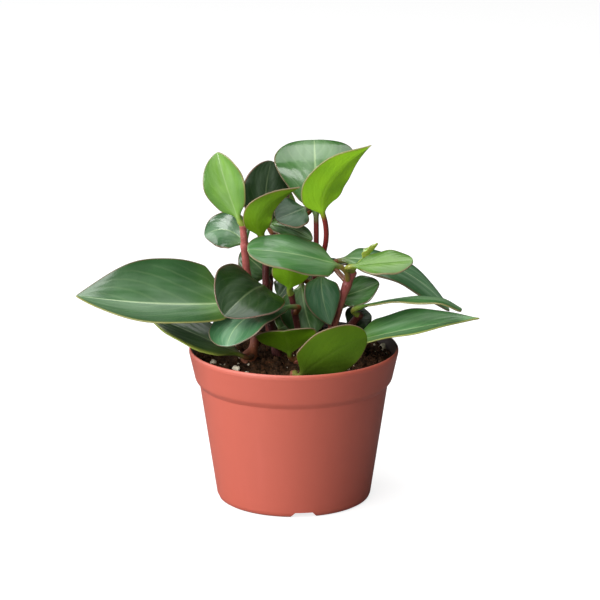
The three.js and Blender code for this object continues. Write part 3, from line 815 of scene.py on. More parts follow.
def make_veins():
    """A leaf's midrib, the side veins that leave it at a slant and run on towards the tip, and the cloudy
    streaks that lie along them."""
    if "veins" in bpy.data.node_groups:
        return
    inputs = ["Along", "Across", "Laterals", "Phase"]
    tree, given, made = new_group("veins", inputs, ["Midrib", "Sides", "Streaks"])
    out = tree.calc("ABSOLUTE", given["Across"])
    width = tree.level(given["Along"], *MIDRIB_WIDTH)
    tree.feed(made["Midrib"], tree.fall(tree.calc("DIVIDE", out, width), 0.4, 1.6))
    lag = tree.calc("MULTIPLY", tree.calc("POWER", out, VEIN_ARC), VEIN_SLANT)
    wander = tree.calc("MULTIPLY", tree.calc("SUBTRACT", tree.speckle(9 * MM), 0.5), 0.05)
    phase = tree.calc("ADD", tree.calc("SUBTRACT", given["Along"], lag), wander)
    turn = tree.calc("FRACT", tree.calc("MULTIPLY", phase, given["Laterals"]))
    line = tree.calc("ABSOLUTE", tree.calc("SUBTRACT", turn, 0.5))
    sides = tree.calc("MULTIPLY", tree.fall(line, 0.02, 0.16), tree.fall(out, 0.65, 0.95))
    tree.feed(made["Sides"], sides)
    spot = {
        "X": tree.calc("MULTIPLY", phase, 1.6),
        "Y": tree.calc("MULTIPLY", given["Across"], 2.4),
        "Z": given["Phase"],
    }
    spot = tree.node("ShaderNodeCombineXYZ", spot).outputs[0]
    tree.feed(made["Streaks"], tree.rise(tree.speckle(0.9, detail=2, vector=spot), 0.3, 0.75))


def leaf_marks(tree, settings):
    """What a leaf's colours follow: the place on the blade, the leaf's kind, its veins and its patches."""
    along, across, upper = tree.marks("leaf_place")
    age, red, blue = tree.marks("leaf_kind")
    shade, lime, phase = tree.marks("skin_tone")
    near_side = tree.rise(tree.calc("MULTIPLY", across, tree.calc("SIGN", lime)), -0.4, 0.6)
    vein_inputs = {"Along": along, "Across": across, "Laterals": settings.laterals, "Phase": phase}
    return SimpleNamespace(
        along=along,
        out=tree.calc("ABSOLUTE", across),
        upper=upper,
        edge=tree.attribute("leaf_edge")["Fac"],
        age=age,
        red=red,
        blue=blue,
        shade=shade,
        lime=tree.calc("MULTIPLY", tree.calc("ABSOLUTE", lime), near_side),
        veins=tree.use("veins", vein_inputs),
        mottle=tree.mottle(14, 1.3),
    )


def upper_colour(tree, marks, young, old, settings):
    """The upper side: patchy, with painted shade darker to the sides, pale veins, streaks that carry a
    painted sheen near the midrib, and a limier base.
    """
    face = tree.blend(marks.age, young, old)
    face = tree.cover(face, marks.blue, 0.7, settings.bloom)
    face = tree.cover(face, marks.mottle["Patches"], 0.6, tree.tinted(face, PATCH_TINT))
    outer = tree.rise(marks.out, 0.2, 1.0)
    # Painted shade towards the margins
    face = tree.cover(face, outer, 0.8, tree.tinted(face, PAINTED_MARGIN_SHADE))
    # Streaks laid on most near the midrib: partly vein streaks, partly a painted sheen
    face = tree.cover(face, marks.veins["Streaks"], tree.level(outer, 0.13, 0.01), STREAK_AND_SHEEN)
    near_base = tree.fall(marks.along, 0.02, 0.35)
    face = tree.cover(face, near_base, tree.level(marks.lime, 0.12, 0.5), LIME_BASE)
    pale = tree.blend(0.45, face, VEIN)
    face = tree.cover(face, marks.veins["Sides"], 0.05, pale)
    face = tree.cover(face, marks.veins["Midrib"], 0.38, pale)
    # Times the leaf's factor: partly its own tone, partly painted light and shade
    return tree.scaled(face, marks.shade)


def lower_colour(tree, marks, settings):
    """The underside: duller on an old leaf, patchy, with a pale midrib and darker side veins."""
    back = tree.blend(tree.rise(marks.age, 0.4, 0.8), settings.under, OLD_UNDERSIDE)
    back = tree.cover(back, marks.mottle["Patches"], 0.35, tree.tinted(back, LOWER_PATCH_TINT))
    back = tree.cover(back, marks.veins["Midrib"], 0.14, LOWER_MIDRIB)
    back = tree.cover(back, marks.veins["Sides"], 0.05, LOWER_VEIN)
    # Times the same factor of tone and painted light and shade, held below its cap
    return tree.scaled(back, tree.calc("MINIMUM", marks.shade, MOST_LOWER_TONE_AND_LIGHT))


def edged(tree, marks, colour, settings):
    """A blade's colour with its flushed margin, its thin rim, and painted shade low over the soil."""
    flush = tree.fall(marks.edge, 0.5 * MM, tree.level(marks.lime, 1.1 * MM, 2.8 * MM))
    flush_colour = tree.blend(marks.lime, FLUSH, settings.lime)
    colour = tree.cover(colour, flush, tree.level(marks.lime, 0.35, 0.8), flush_colour)
    rim_colour = tree.blend(marks.lime, settings.margin, settings.lime)
    colour = tree.cover(colour, tree.fall(marks.edge, 0.15 * MM, 0.5 * MM), 0.55, rim_colour)
    height = tree.parts(tree.place())[2]
    # Painted shade on the leaves low over the soil
    return tree.cover(colour, tree.fall(height, *PAINTED_LOW_SHADE_HEIGHTS), 0.55, PAINTED_LOW_SHADE)


def leaf_finish(name, young, old, settings):
    """A thick waxy leaf: coloured by its age, with veins, cloudy streaks, painted sheen and shade, rim and
    stalk.
    Young and old are its colours at both ends of its age."""
    wax = {"Coat Roughness": 0.18, "Coat IOR": 1.65, "IOR": 1.46, "Specular IOR Level": 0.2}
    material, tree, shader = finish(name, wax)
    marks = leaf_marks(tree, settings)
    face = upper_colour(tree, marks, young, old, settings)
    colour = tree.blend(marks.upper, lower_colour(tree, marks, settings), face)
    stalk = tree.blend(marks.red, GREEN_STALK, settings.stalk)
    colour = tree.blend(tree.fall(marks.along, -0.1, 0.12), colour, stalk)
    tree.feed(shader["Base Color"], edged(tree, marks, colour, settings))

    waxy = tree.calc("MULTIPLY", tree.rise(marks.shade, 0.4, 1.3), tree.level(marks.blue, 1.0, 0.35))
    tree.feed(shader["Coat Weight"], tree.calc("MULTIPLY", waxy, tree.level(marks.upper, 0.15, 0.85)))
    gloss = tree.level(marks.upper, 0.46, 0.33)
    tree.feed(shader["Roughness"], tree.calc("MULTIPLY_ADD", marks.mottle["Grain"], 0.08, gloss))
    relief = tree.calc("ADD", tree.calc("MULTIPLY", marks.veins["Sides"], -0.4), marks.mottle["Grain"])
    tree.feed(shader["Normal"], tree.bump(relief, 0.03 * MM))
    return material


def stem_finish(settings):
    """A fleshy red stem, browner and corky at its foot, with pale specks. Its darkness towards maroon is
    partly the stem's own colour and partly painted shade.
    """
    material, tree, shader = finish("stem_skin", {"Coat Weight": 0.1, "Coat Roughness": 0.3})
    height = tree.parts(tree.place())[2]
    mottle = tree.mottle(7, 0.7)
    woody = tree.fall(height, *WOODY_HEIGHTS)
    dark = tree.marks("skin_tone")[0]
    colour = tree.blend(woody, settings.colour, settings.foot)
    # Towards maroon by each stem's darkness: partly its own colour, partly painted shade deep in the plant
    colour = tree.blend(dark, colour, settings.dark)
    colour = tree.cover(colour, mottle["Patches"], 0.55, tree.tinted(colour, STEM_PATCH_TINT))
    cells = {"Vector": tree.place(), "Scale": 1 / SPECK_SPACING, "Randomness": 1.0}
    far = tree.node("ShaderNodeTexVoronoi", cells).outputs["Distance"]
    speck = tree.fall(far, 0.10, 0.17)
    tree.feed(shader["Base Color"], tree.cover(colour, speck, 0.4, STEM_SPECK))
    tree.feed(shader["Roughness"], tree.level(woody, 0.38, 0.72))
    tree.feed(shader["Normal"], tree.bump(tree.calc("ADD", mottle["Grain"], speck), 0.07 * MM))
    return material


def darkened_wall(tree, patches):
    """Where the rim band's inner face is darkened, up to an uneven line."""
    x, y, height = tree.parts(tree.place())
    out = tree.calc("SQRT", tree.calc("ADD", tree.calc("MULTIPLY", x, x), tree.calc("MULTIPLY", y, y)))
    lean = (RIM_RADIUS - BAND_FOOT_RADIUS) / (POT_HEIGHT - LIP_EASE - BAND_FOOT_HEIGHT)
    foot = BAND_FOOT_RADIUS - WALL * 0.7 - BAND_FOOT_HEIGHT * lean
    inside = tree.calc("LESS_THAN", out, tree.calc("MULTIPLY_ADD", height, lean, foot))
    inside = tree.calc("MULTIPLY", inside, tree.calc("GREATER_THAN", height, BAND_FOOT_HEIGHT + 2 * MM))
    low = tree.fall(height, *WALL_DARKENING_HEIGHTS)
    return tree.calc("MULTIPLY", inside, tree.rise(tree.calc("MULTIPLY_ADD", patches, 0.4, low), 0.25, 0.7))


def pot_finish(settings):
    """Moulded terracotta-coloured plastic: an even satin skin, faint flow marks, and an inner face darkened
    near the soil.
    """
    material, tree, shader = finish("pot_plastic", {"IOR": 1.5, "Coat Weight": 0.9, "Coat Roughness": 0.58})
    mottle = tree.mottle(26, 0.5)
    flow = tree.speckle(5 * MM, vector=tree.stretched((1, 1, 0.06)))
    colour = tree.cover(settings.colour, mottle["Patches"], 0.16, PLASTIC_PATCH)
    colour = tree.cover(colour, tree.rise(flow, 0.5, 0.8), 0.2, PLASTIC_FLOW)
    darkened = darkened_wall(tree, mottle["Patches"])
    # The rim band's inner face darkened near the soil, almost to black
    tree.feed(shader["Base Color"], tree.cover(colour, darkened, 0.97, settings.wall_darkening))
    gloss = tree.calc("MULTIPLY_ADD", mottle["Patches"], 0.08, 0.5)
    tree.feed(shader["Roughness"], tree.level(darkened, gloss, 0.9))
    rings = tree.speckle(1.6 * MM, vector=tree.stretched((0.02, 0.02, 1)))
    relief = tree.calc("ADD", tree.calc("MULTIPLY", mottle["Grain"], 0.35), rings)
    tree.feed(shader["Normal"], tree.bump(relief, 0.02 * MM))
    return material


def soil_finish(settings):
    """Moist dark peat with redder bark in it."""
    material, tree, shader = finish("potting_mix", {"Specular IOR Level": 0.15})
    mottle = tree.mottle(3.2, 0.6)
    bits = tree.rise(tree.speckle(2.1 * MM, detail=4, rough=0.7), 0.56, 0.68)
    colour = tree.cover(settings.colour, bits, 0.7, settings.bark)
    tree.feed(shader["Base Color"], tree.cover(colour, mottle["Patches"], 0.6, DARK_PEAT))
    tree.feed(shader["Roughness"], tree.level(mottle["Patches"], 0.78, 0.95))
    relief = tree.calc("ADD", mottle["Grain"], tree.speckle(1.4 * MM, detail=5, rough=0.7))
    tree.feed(shader["Normal"], tree.bump(relief, 0.35 * MM))
    return material


def perlite_finish(settings):
    """White foamed grains, dusted with peat in patches."""
    material, tree, shader = finish("perlite", {"Roughness": 0.85})
    mottle = tree.mottle(1.6, 0.35)
    tree.feed(shader["Base Color"], tree.cover(settings.perlite, mottle["Patches"], 0.25, PERLITE_DUST))
    tree.feed(shader["Normal"], tree.bump(mottle["Grain"], 0.12 * MM))
    return material


def floor_finish(settings):
    """Plain pale floor: it looks nearly white, and throws little light back up at the pot."""
    material, tree, shader = finish("studio_floor", {"Roughness": 0.8, "Emission Strength": 1.0})
    clouded = [c * FLOOR_CLOUD for c in settings.floor]
    pale = tree.blend(tree.speckle(0.6), settings.floor, clouded)
    mirrored = [c * FLOOR_MIRRORED for c in settings.floor]
    path = tree.node("ShaderNodeLightPath").outputs
    tree.feed(shader["Base Color"], tree.blend(path["Is Glossy Ray"], pale, mirrored))
    tree.feed(shader["Emission Color"], tree.blend(path["Is Camera Ray"], (0, 0, 0), [settings.glow] * 3))
    return material


# Pot


def inner_radius(height):
    """The radius of the tapered body's inner face."""
    slope = (STEP_RADIUS - BODY_FOOT_RADIUS) / (STEP_HEIGHT - FOOT_CHAMFER)
    return BODY_FOOT_RADIUS + (height - FOOT_CHAMFER) * slope - WALL


def band_radius(height):
    """The radius of the rim band's inner face."""
    share = (height - BAND_FOOT_HEIGHT) / (POT_HEIGHT - LIP_EASE - BAND_FOOT_HEIGHT)
    return mix(BAND_FOOT_RADIUS, RIM_RADIUS, share) - WALL


def inner_profile(clearance=0.0):
    """The inner face from the lip down to the floor, smaller by a clearance."""
    return [
        (RIM_RADIUS - WALL - clearance, POT_HEIGHT - LIP_EASE),
        (BAND_FOOT_RADIUS - WALL - clearance, BAND_FOOT_HEIGHT),
        (STEP_RADIUS - WALL - clearance, STEP_HEIGHT - 0.6 * MM),
        (inner_radius(8 * MM) - clearance, 8 * MM),
        (inner_radius(FLOOR) - 1.6 * MM - clearance, FLOOR + clearance),
    ]


def outer_profile():
    """The outer face from the middle of the underside up to the lip."""
    return [
        (0, 0),
        (BODY_FOOT_RADIUS - 2.2 * MM, 0),
        (BODY_FOOT_RADIUS - 0.7 * MM, 0.9 * MM),
        (BODY_FOOT_RADIUS, FOOT_CHAMFER),
        (STEP_RADIUS, STEP_HEIGHT),
        (BAND_FOOT_RADIUS - 0.5 * MM, BAND_FOOT_HEIGHT - 0.6 * MM),
        (BAND_FOOT_RADIUS, BAND_FOOT_HEIGHT + 0.6 * MM),
        (BAND_TOP_RADIUS, POT_HEIGHT - 3.2 * MM),
        (RIM_RADIUS, POT_HEIGHT - 2.4 * MM),
        (RIM_RADIUS, POT_HEIGHT - 0.9 * MM),
        (RIM_RADIUS - 0.5 * MM, POT_HEIGHT),
        (RIM_RADIUS - WALL + 0.2 * MM, POT_HEIGHT),
    ]


def channel_blocks(start, grow):
    """One block with sloping sides in each drainage channel, larger by grow, from just below the foot."""
    bm = bmesh.new()
    lean = (CHANNEL_FOOT_WIDTH - CHANNEL_TOP_WIDTH) / CHANNEL_DEPTH
    for i in range(CHANNELS):
        block = bmesh.ops.create_cube(bm, size=1)["verts"]
        for vert in block:
            height = CHANNEL_DEPTH + grow if vert.co.z > 0 else -1 * MM
            width = CHANNEL_FOOT_WIDTH + 2 * grow - min(height, CHANNEL_DEPTH) * lean
            vert.co = (CHANNEL_END if vert.co.x > 0 else start, math.copysign(width / 2, vert.co.y), height)
        turn_to_channel(bm, block, i)
    return bm


def drain_holes():
    """One upright block through the roof of each channel."""
    bm = bmesh.new()
    length = DRAIN_HOLE[1] - DRAIN_HOLE[0]
    for i in range(CHANNELS):
        block = bmesh.ops.create_cube(bm, size=1)["verts"]
        bmesh.ops.scale(bm, verts=block, vec=(length, DRAIN_HOLE_WIDTH, 20 * MM))
        bmesh.ops.translate(bm, verts=block, vec=(DRAIN_HOLE[0] + length / 2, 0, 0))
        turn_to_channel(bm, block, i)
    return bm


def turn_to_channel(bm, verts, i):
    """Turn what was made along X to channel number i."""
    turn = math.radians(CHANNEL_TURN - 90 + i * 360 / CHANNELS)
    bmesh.ops.rotate(bm, verts=verts, cent=(0, 0, 0), matrix=Matrix.Rotation(turn, 3, "Z"))


def combined(body, *steps):
    """A body after each step in turn: ("UNION", "DIFFERENCE" or "INTERSECT", the other body)."""
    holders = []
    for bm in (body, *[other for _, other in steps]):
        mesh = bpy.data.meshes.new("holder")
        bm.to_mesh(mesh)
        bm.free()
        holders.append(bpy.data.objects.new("holder", mesh))
        bpy.context.scene.collection.objects.link(holders[-1])
    for (operation, _), other in zip(steps, holders[1:]):
        step = holders[0].modifiers.new(operation, "BOOLEAN")
        step.operation = operation
        step.solver = "MANIFOLD"
        step.object = other
    made = bmesh.new()
    made.from_object(holders[0], bpy.context.evaluated_depsgraph_get())
    for holder in holders:
        mesh = holder.data
        bpy.data.objects.remove(holder)
        bpy.data.meshes.remove(mesh)
    return made


def build_pot(settings):
    """A turned shell with humps over the drainage channels, then cut by the channels and their holes."""
    profile = [*outer_profile(), *inner_profile(), (0, FLOOR)]
    shell = turned(eased(profile, settings.corner), settings.sides)
    skin = turned([(0, POT_HEIGHT), *inner_profile(-WALL / 2), (0, FLOOR - WALL / 2)], settings.sides)
    humps = combined(channel_blocks(CHANNEL_START - WALL, WALL), ("INTERSECT", skin))
    body = combined(
        shell,
        ("UNION", humps),
        ("DIFFERENCE", channel_blocks(CHANNEL_START, 0)),
        ("DIFFERENCE", drain_holes()),
    )
    made = piece(body, "pot_shell", pot_finish(settings), sharp=32)
    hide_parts("pot")


# Soil


def unevenness(x, y):
    """Broad lumps from -1 to 1 at a spot in millimetres."""
    across = math.sin(0.59 * x + 1.3 * math.sin(0.44 * y))
    along = math.sin(0.7 * y + 1.7 * math.sin(0.36 * x))
    return (across + along) / 2


def soil_top(x, y):
    """The height of the soil's mound with its broad lumps."""
    out = math.hypot(x, y) / SOIL_RADIUS
    mound = SOIL_MOUND * (1 - out * out)
    rise = SOIL_REAR_RISE * y / SOIL_RADIUS
    return SOIL_LEVEL + mound + rise + SOIL_ROUGHNESS * unevenness(x / MM, y / MM)


def lumpy_top(x, y):
    """The height of the soil with its fine lumps too."""
    spot = Vector((x, y, 0)) / MM
    return soil_top(x, y) + FINE_LUMPS * noise.fractal(spot / 4.2, 0.8, 2.2, 4)


def build_soil(material):
    """A turned filling whose top is lifted into lumps and fitted to the pot's wall."""
    rim = band_radius(SOIL_LEVEL)
    wall = inner_profile(0.3 * MM)[1:4]
    profile = [(0, SOIL_FOOT), (inner_radius(SOIL_FOOT) - 0.5 * MM, SOIL_FOOT), *wall[::-1]]
    profile += [(rim * (1 - i / SOIL_RINGS), SOIL_LEVEL) for i in range(SOIL_RINGS)]
    bm = turned([*profile, (0, SOIL_LEVEL)], SOIL_SIDES)
    for vert in bm.verts:
        if vert.co.z > SOIL_LEVEL - 0.01 * MM:
            height = lumpy_top(vert.co.x, vert.co.y)
            fit = (band_radius(height) - 0.15 * MM) / rim
            vert.co = (vert.co.x * fit, vert.co.y * fit, height)
    made = piece(bm, "soil_body", material)
    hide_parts("soil")


def grain(bm, centre, size, draw, fine=False, rough=0.5):
    """Add a rough grain, with its three half-sizes, turned at random round a centre."""
    single = bmesh.new()
    if fine:
        bmesh.ops.create_icosphere(single, subdivisions=3, radius=1)
    else:
        bmesh.ops.create_uvsphere(single, u_segments=7, v_segments=5, radius=1)
    shift = Vector([draw.uniform(0, 90) for _ in range(3)])
    for vert in single.verts:
        vert.co *= 1 + rough * noise.noise(vert.co * 1.3 + shift)
    bmesh.ops.scale(single, verts=single.verts, vec=size)
    turn = Euler([draw.uniform(-0.5, 0.5), draw.uniform(-0.5, 0.5), draw.uniform(0, 2 * math.pi)])
    bmesh.ops.rotate(single, verts=single.verts, cent=(0, 0, 0), matrix=turn.to_matrix())
    bmesh.ops.translate(single, verts=single.verts, vec=centre)
    mesh = bpy.data.meshes.new("grain")
    single.to_mesh(mesh)
    single.free()
    bm.from_mesh(mesh)
    bpy.data.meshes.remove(mesh)


def scattered(draw, reach):
    """An even random spot on a disc."""
    turn = draw.uniform(0, 2 * math.pi)
    out = reach * math.sqrt(draw.random())
    return out * math.cos(turn), out * math.sin(turn)


def build_crumbs(settings, material):
    """Round crumbs and flat slivers, strewn on the soil and sunk a little into it."""
    draw = Random(SEED)
    bm = bmesh.new()
    for _ in range(settings.crumbs):
        x, y = scattered(draw, CRUMB_FIELD)
        radius = draw.uniform(0.45, 1.0) ** 2 * CRUMB_MOST
        size = [radius * draw.uniform(0.7, 1.2) for _ in range(3)]
        grain(bm, (x, y, lumpy_top(x, y) + 0.2 * radius), size, draw, rough=0.8)
    for _ in range(settings.slivers):
        x, y = scattered(draw, SLIVER_FIELD)
        length = draw.uniform(*SLIVER_LENGTHS)
        size = (length, length * draw.uniform(0.12, 0.3), length * 0.12)
        grain(bm, (x, y, lumpy_top(x, y) + 0.5 * MM), size, draw, rough=0.4)
    made = piece(bm, "soil_crumbs", material)


def counted(seed):
    """The same even draws from 0 to 1 each time, one after the other."""
    state = seed
    while True:
        state = (state * 1664525 + 1013904223) % 4294967296
        yield state / 4294967296


def perlite_spots():
    """The place and radius of each grain, in millimetres, and the draws that go on from there."""
    draws = counted(SEED)
    spots = [(x, y, PERLITE_SEEN_GROWTH * mix(*PERLITE_SIZE, next(draws))) for x, y in PERLITE_SEEN]
    for _ in range(PERLITE_DRAWN):
        turn = next(draws) * 2 * math.pi
        out = mix(*PERLITE_FIELD, math.sqrt(next(draws)))
        spots.append((out * math.cos(turn), out * math.sin(turn), mix(*PERLITE_SIZE, next(draws))))
    draw = Random(SEED + 1)
    for _ in range(PERLITE_SMALL):
        x, y = scattered(draw, PERLITE_SMALL_FIELD)
        spots.append((x, y, draw.uniform(*PERLITE_SMALL_SIZE)))
    return spots, draw


def build_perlite(settings):
    """White grains, half sunk in the soil."""
    spots, draw = perlite_spots()
    bm = bmesh.new()
    for x, y, radius in spots:
        centre = Vector((x, y, 0)) * MM
        centre.z = lumpy_top(centre.x, centre.y) + 0.35 * radius * MM
        size = [radius * MM * draw.uniform(0.8, 1.15) for _ in range(3)]
        grain(bm, centre, size, draw, fine=True, rough=0.55)
    made = piece(bm, "perlite", perlite_finish(settings))


# Stems


def build_stem(name, stem, settings, material):
    """A fleshy rod with a knuckle at each leaf, a round top and a foot that spreads into the soil."""
    knuckles = [leaf.seat.z for leaf in leaves if leaf.stem == name]
    rooted = stem.at_height(SOIL_LEVEL)
    soil = soil_top(rooted.x, rooted.y)

    @cache
    def section(share):
        """Where a ring stands, its two ways across, its radius and how near the soil it is."""
        along = mix(share, math.sin(share * math.pi / 2), 0.5)
        middle, heading = stem.at(along)
        side = heading.cross(Vector((0, 1, 0))).normalized()
        radius = mix(stem.foot, stem.top, along)
        for height in knuckles:
            radius += settings.knuckle * hill(middle.z - height, KNUCKLE_WIDTH)
            radius -= CREASE_DEPTH * hill(middle.z - height - CREASE_RISE, CREASE_WIDTH)
        if along > 1 - STEM_DOME:
            radius *= math.sqrt(max(1 - ((along - 1 + STEM_DOME) / STEM_DOME) ** 2, 0))
        low = 1 - smooth(middle.z, soil + FOOT_SPREAD[0], soil + FOOT_SPREAD[1])
        return middle, side, side.cross(heading), radius, low

    def place(vert, layers, along, turn):
        """Put a vertex on the skin, which spreads at the soil and is a little uneven."""
        middle, side, front, radius, low = section(along)
        way = side * math.cos(turn * 2 * math.pi) + front * math.sin(turn * 2 * math.pi)
        lobe = max(way.dot(stem.flare_way), 0) ** 2
        radius *= 1 + low * (stem.flare * 0.5 + stem.flare * lobe)
        radius *= 1 + 0.07 * noise.noise((middle + way * radius) / (3.5 * MM))
        vert.co = middle + way * radius
        vert[layers["skin_tone"]] = (stem.dark, 0, 0)

    made = piece(closed_rod(*STEM_MESH, place), f"{name}_stem", material)
    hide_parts(f"stem_{name}")


# Leaves


def build_leaf(leaf, settings, material):
    """The stalk is round; the blade flattens as it widens, with a rib below its groove and a soft rim."""
    phase = sum(map(ord, leaf.name)) % 17
    kind = (leaf.age, leaf.red, leaf.blue)
    # The factor of the leaf's own tone and painted light, the lime of its rim, and a phase for its streaks
    tone = (leaf.shade, leaf.lime, phase)

    @cache
    def section(along):
        """Where a ring stands, its two ways across, how flat it is, and its half-width and round radius."""
        if along < STALK_SHARE:
            t = along / STALK_SHARE
            middle, heading = leaf.stalk_line(t)
            t -= 1
            flat = 0
            half = leaf.stalk
        else:
            even = (along - STALK_SHARE) / (1 - STALK_SHARE)
            t = mix(even, (1 - math.cos(math.pi * even)) / 2, 0.45)
            middle, heading = leaf.midrib(t)
            middle.z -= leaf.hook * smooth(t, 0.7, 1) ** 2
            flat = smooth(t, 0, FLATTEN_OVER)
            half = max(leaf.half_width(t), LEAST_HALF_WIDTH * (1 - smooth(t, 0.97, 1)))
        side = heading.cross(leaf.face).normalized()
        radius = leaf.stalk * (1 + 0.3 * hill((middle - leaf.seat).length, 3 * MM))
        return t, middle, side, side.cross(heading), flat, half, radius

    def place(vert, layers, along, turn):
        """Put a vertex on the leaf: t is its share of the blade, and s runs across from -1 to 1."""
        t, middle, side, up, flat, half, radius = section(along)
        angle = turn * 2 * math.pi
        upper = 1 if turn < 0.5 else -1
        w = 1 - 4 * turn if turn < 0.5 else 4 * turn - 3
        s = math.sin(math.copysign(abs(w) ** ROW_CROWDING, w) * math.pi / 2)
        edge = (1 - abs(s)) * half
        gutter = math.hypot(s, RIB_SOFTNESS) - RIB_SOFTNESS
        lift = half * (leaf.fold * gutter + leaf.curl * s * s)
        ripple = math.sin(2 * math.pi * (2.3 * t + 0.21 * phase + 0.15 * s))
        lift += leaf.wave * half / leaf.half * abs(s) ** 3 * ripple
        soft = math.sqrt(max(1 - (1 - min(edge / SOFT_EDGE, 1)) ** 2, 0))
        thick = mix(BLADE_THICKNESS, MARGIN_THICKNESS, abs(s)) / 2 * soft
        rib = hill(s * half, RIB_WIDTH) * (1 - smooth(t, 0.55, 1))
        relief = settings.rib * rib if upper < 0 else -settings.groove * rib
        vein = (t - VEIN_SLANT * abs(s) ** VEIN_ARC) * settings.laterals
        swell = math.cos(2 * math.pi * vein) * smooth(abs(s), 0.05, 0.3) * (1 - smooth(abs(s), 0.6, 0.95))
        relief += VEIN_SWELL * swell * smooth(t, 0.05, 0.25) * (1 - smooth(t, 0.8, 1))
        across = mix(radius * math.cos(angle), half * s * leaf.spread, flat)
        above = mix(radius * math.sin(angle), lift + upper * thick + relief * soft, flat)
        vert.co = middle + side * across + up * above
        clear = min(edge / (0.4 * MM), 1)
        vert[layers["leaf_place"]] = (t, s, 0.5 + 0.5 * upper * clear)
        vert[layers["leaf_edge"]] = mix(3 * MM, edge, flat)
        vert[layers["leaf_kind"]] = kind
        vert[layers["skin_tone"]] = tone

    made = piece(closed_rod(*LEAF_MESH, place), f"{leaf.name}_leaf", material)
    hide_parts(f"leaf_{leaf.name}")


# Stage


def look(thing, place, aim):
    """Put a light or the camera at a place, and turn it to its aim."""
    thing.location = place
    thing.rotation_euler = (Vector(aim) - Vector(place)).to_track_quat("-Z", "Y").to_euler()
    bpy.context.scene.collection.objects.link(thing)


def soft_light(name, power, size, place, aim=(0, 0, 0.1)):
    """A square studio light that looks at the plant."""
    light = bpy.data.lights.new(name, "AREA")
    light.energy = power
    light.size = size
    look(bpy.data.objects.new(name, light), place, aim)


def build_floor(settings):
    bm = bmesh.new()
    bmesh.ops.create_grid(bm, x_segments=1, y_segments=1, size=4)
    bmesh.ops.translate(bm, verts=bm.verts, vec=(0, 0, -FLOOR_DROP))
    mesh = bpy.data.meshes.new("floor")
    bm.to_mesh(mesh)
    bm.free()
    mesh.materials.append(floor_finish(settings))
    floor = bpy.data.objects.new("floor", mesh)
    bpy.context.scene.collection.objects.link(floor)


def build_camera():
    data = bpy.data.cameras.new("photograph")
    data.sensor_fit = "HORIZONTAL"
    data.angle = VIEW_ANGLE
    data.clip_start = 0.05
    camera = bpy.data.objects.new("photograph", data)
    look(camera, VIEW_FROM, VIEW_AT)
    bpy.context.scene.camera = camera


def build_sky(settings):
    world = bpy.data.worlds.new("studio")
    world.use_nodes = True
    tree = Tree(world.node_tree)
    background = world.node_tree.nodes["Background"].inputs
    tree.feed(background["Color"], (1, 1, 1))
    ray = tree.node("ShaderNodeLightPath").outputs
    strength = tree.level(ray["Is Glossy Ray"], settings.sky, settings.shine)
    tree.feed(background["Strength"], tree.level(ray["Is Camera Ray"], strength, SEEN_SKY))
    bpy.context.scene.world = world


# Operators


class PEPEROMIA_OT_pot(bpy.types.Operator):
    """Build the stepped plastic pot with its rolled lip, drainage channels and holes"""

    bl_idname = "peperomia.pot"
    bl_label = "Pot"

    def execute(self, context):
        make_mottling()
        build_pot(context.scene.peperomia_pot)
        return {"FINISHED"}


class PEPEROMIA_OT_soil(bpy.types.Operator):
    """Fill the pot with lumpy potting mix, and strew crumbs, bark and perlite on it"""

    bl_idname = "peperomia.soil"
    bl_label = "Soil"

    def execute(self, context):
        settings = context.scene.peperomia_soil
        make_mottling()
        material = soil_finish(settings)
        build_soil(material)
        build_crumbs(settings, material)
        build_perlite(settings)
        return {"FINISHED"}


class PEPEROMIA_OT_stems(bpy.types.Operator):
    """Grow the nine fleshy stems out of the soil"""

    bl_idname = "peperomia.stems"
    bl_label = "Stems"

    def execute(self, context):
        settings = context.scene.peperomia_stem
        make_mottling()
        material = stem_finish(settings)
        for name, stem in stems.items():
            build_stem(name, stem, settings, material)
        return {"FINISHED"}


class PEPEROMIA_OT_leaves(bpy.types.Operator):
    """Grow every leaf on its stalk, young ones lighter than grown ones"""

    bl_idname = "peperomia.leaves"
    bl_label = "Leaves"

    def execute(self, context):
        settings = context.scene.peperomia_leaf
        make_mottling()
        make_veins()
        young = leaf_finish("young_leaf_skin", settings.fresh, settings.green, settings)
        grown = leaf_finish("grown_leaf_skin", settings.green, settings.dark, settings)
        for leaf in leaves:
            if leaf.age < YOUNG:
                build_leaf(leaf, settings, young)
            else:
                build_leaf(leaf, settings, grown)
        return {"FINISHED"}


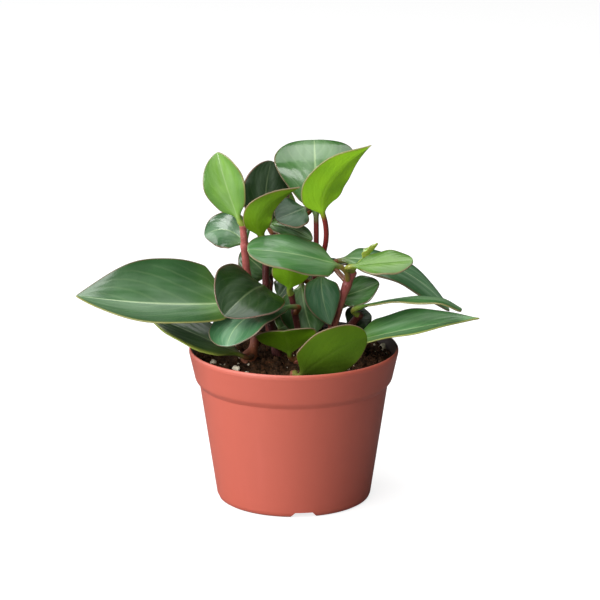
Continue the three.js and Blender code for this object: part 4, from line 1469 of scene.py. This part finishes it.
class PEPEROMIA_OT_stage(bpy.types.Operator):
    """Set a plain floor, soft studio light and the photograph's camera round the plant"""

    bl_idname = "peperomia.stage"
    bl_label = "Stage"

    def execute(self, context):
        settings = context.scene.peperomia_stage
        build_floor(settings)
        build_camera()
        build_sky(settings)
        soft_light("key", settings.key, 0.6, (-1.185, -0.552, 1.19))
        soft_light("window", settings.window, 0.7, (-1.15, -1.05, 0.42))
        soft_light("overhead", settings.top, 1.2, (0.05, 0.15, 1.5))
        soft_light("front", settings.front, 0.7, (-0.35, -1.2, 0.98))
        soft_light("edge", settings.edge, 0.8, (-1.3, 0.5, 0.5))
        context.scene.view_settings.view_transform = "Standard"
        return {"FINISHED"}


class PEPEROMIA_PT_panel(bpy.types.Panel):
    """The plant's pieces, each with its sizes and colours"""

    bl_idname = "PEPEROMIA_PT_panel"
    bl_label = "Potted Peperomia"
    bl_space_type = "VIEW_3D"
    bl_region_type = "UI"
    bl_category = "Peperomia"

    def draw(self, context):
        for name, operator, group in STEPS:
            box = self.layout.box()
            box.operator(operator.bl_idname)
            settings = getattr(context.scene, name)
            for label in group.__annotations__:
                box.prop(settings, label)


STEPS = (
    ("peperomia_pot", PEPEROMIA_OT_pot, PotSettings),
    ("peperomia_soil", PEPEROMIA_OT_soil, SoilSettings),
    ("peperomia_stem", PEPEROMIA_OT_stems, StemSettings),
    ("peperomia_leaf", PEPEROMIA_OT_leaves, LeafSettings),
    ("peperomia_stage", PEPEROMIA_OT_stage, StageSettings),
)


def register():
    for name, operator, group in STEPS:
        bpy.utils.register_class(group)
        bpy.utils.register_class(operator)
        setattr(bpy.types.Scene, name, PointerProperty(type=group))
    bpy.utils.register_class(PEPEROMIA_PT_panel)


def unregister():
    bpy.utils.unregister_class(PEPEROMIA_PT_panel)
    for name, operator, group in reversed(STEPS):
        delattr(bpy.types.Scene, name)
        bpy.utils.unregister_class(operator)
        bpy.utils.unregister_class(group)


def main():
    register()
    bpy.ops.peperomia.pot()
    bpy.ops.peperomia.soil()
    bpy.ops.peperomia.stems()
    bpy.ops.peperomia.leaves()
    bpy.ops.peperomia.stage()


if __name__ == "__main__":
    main()
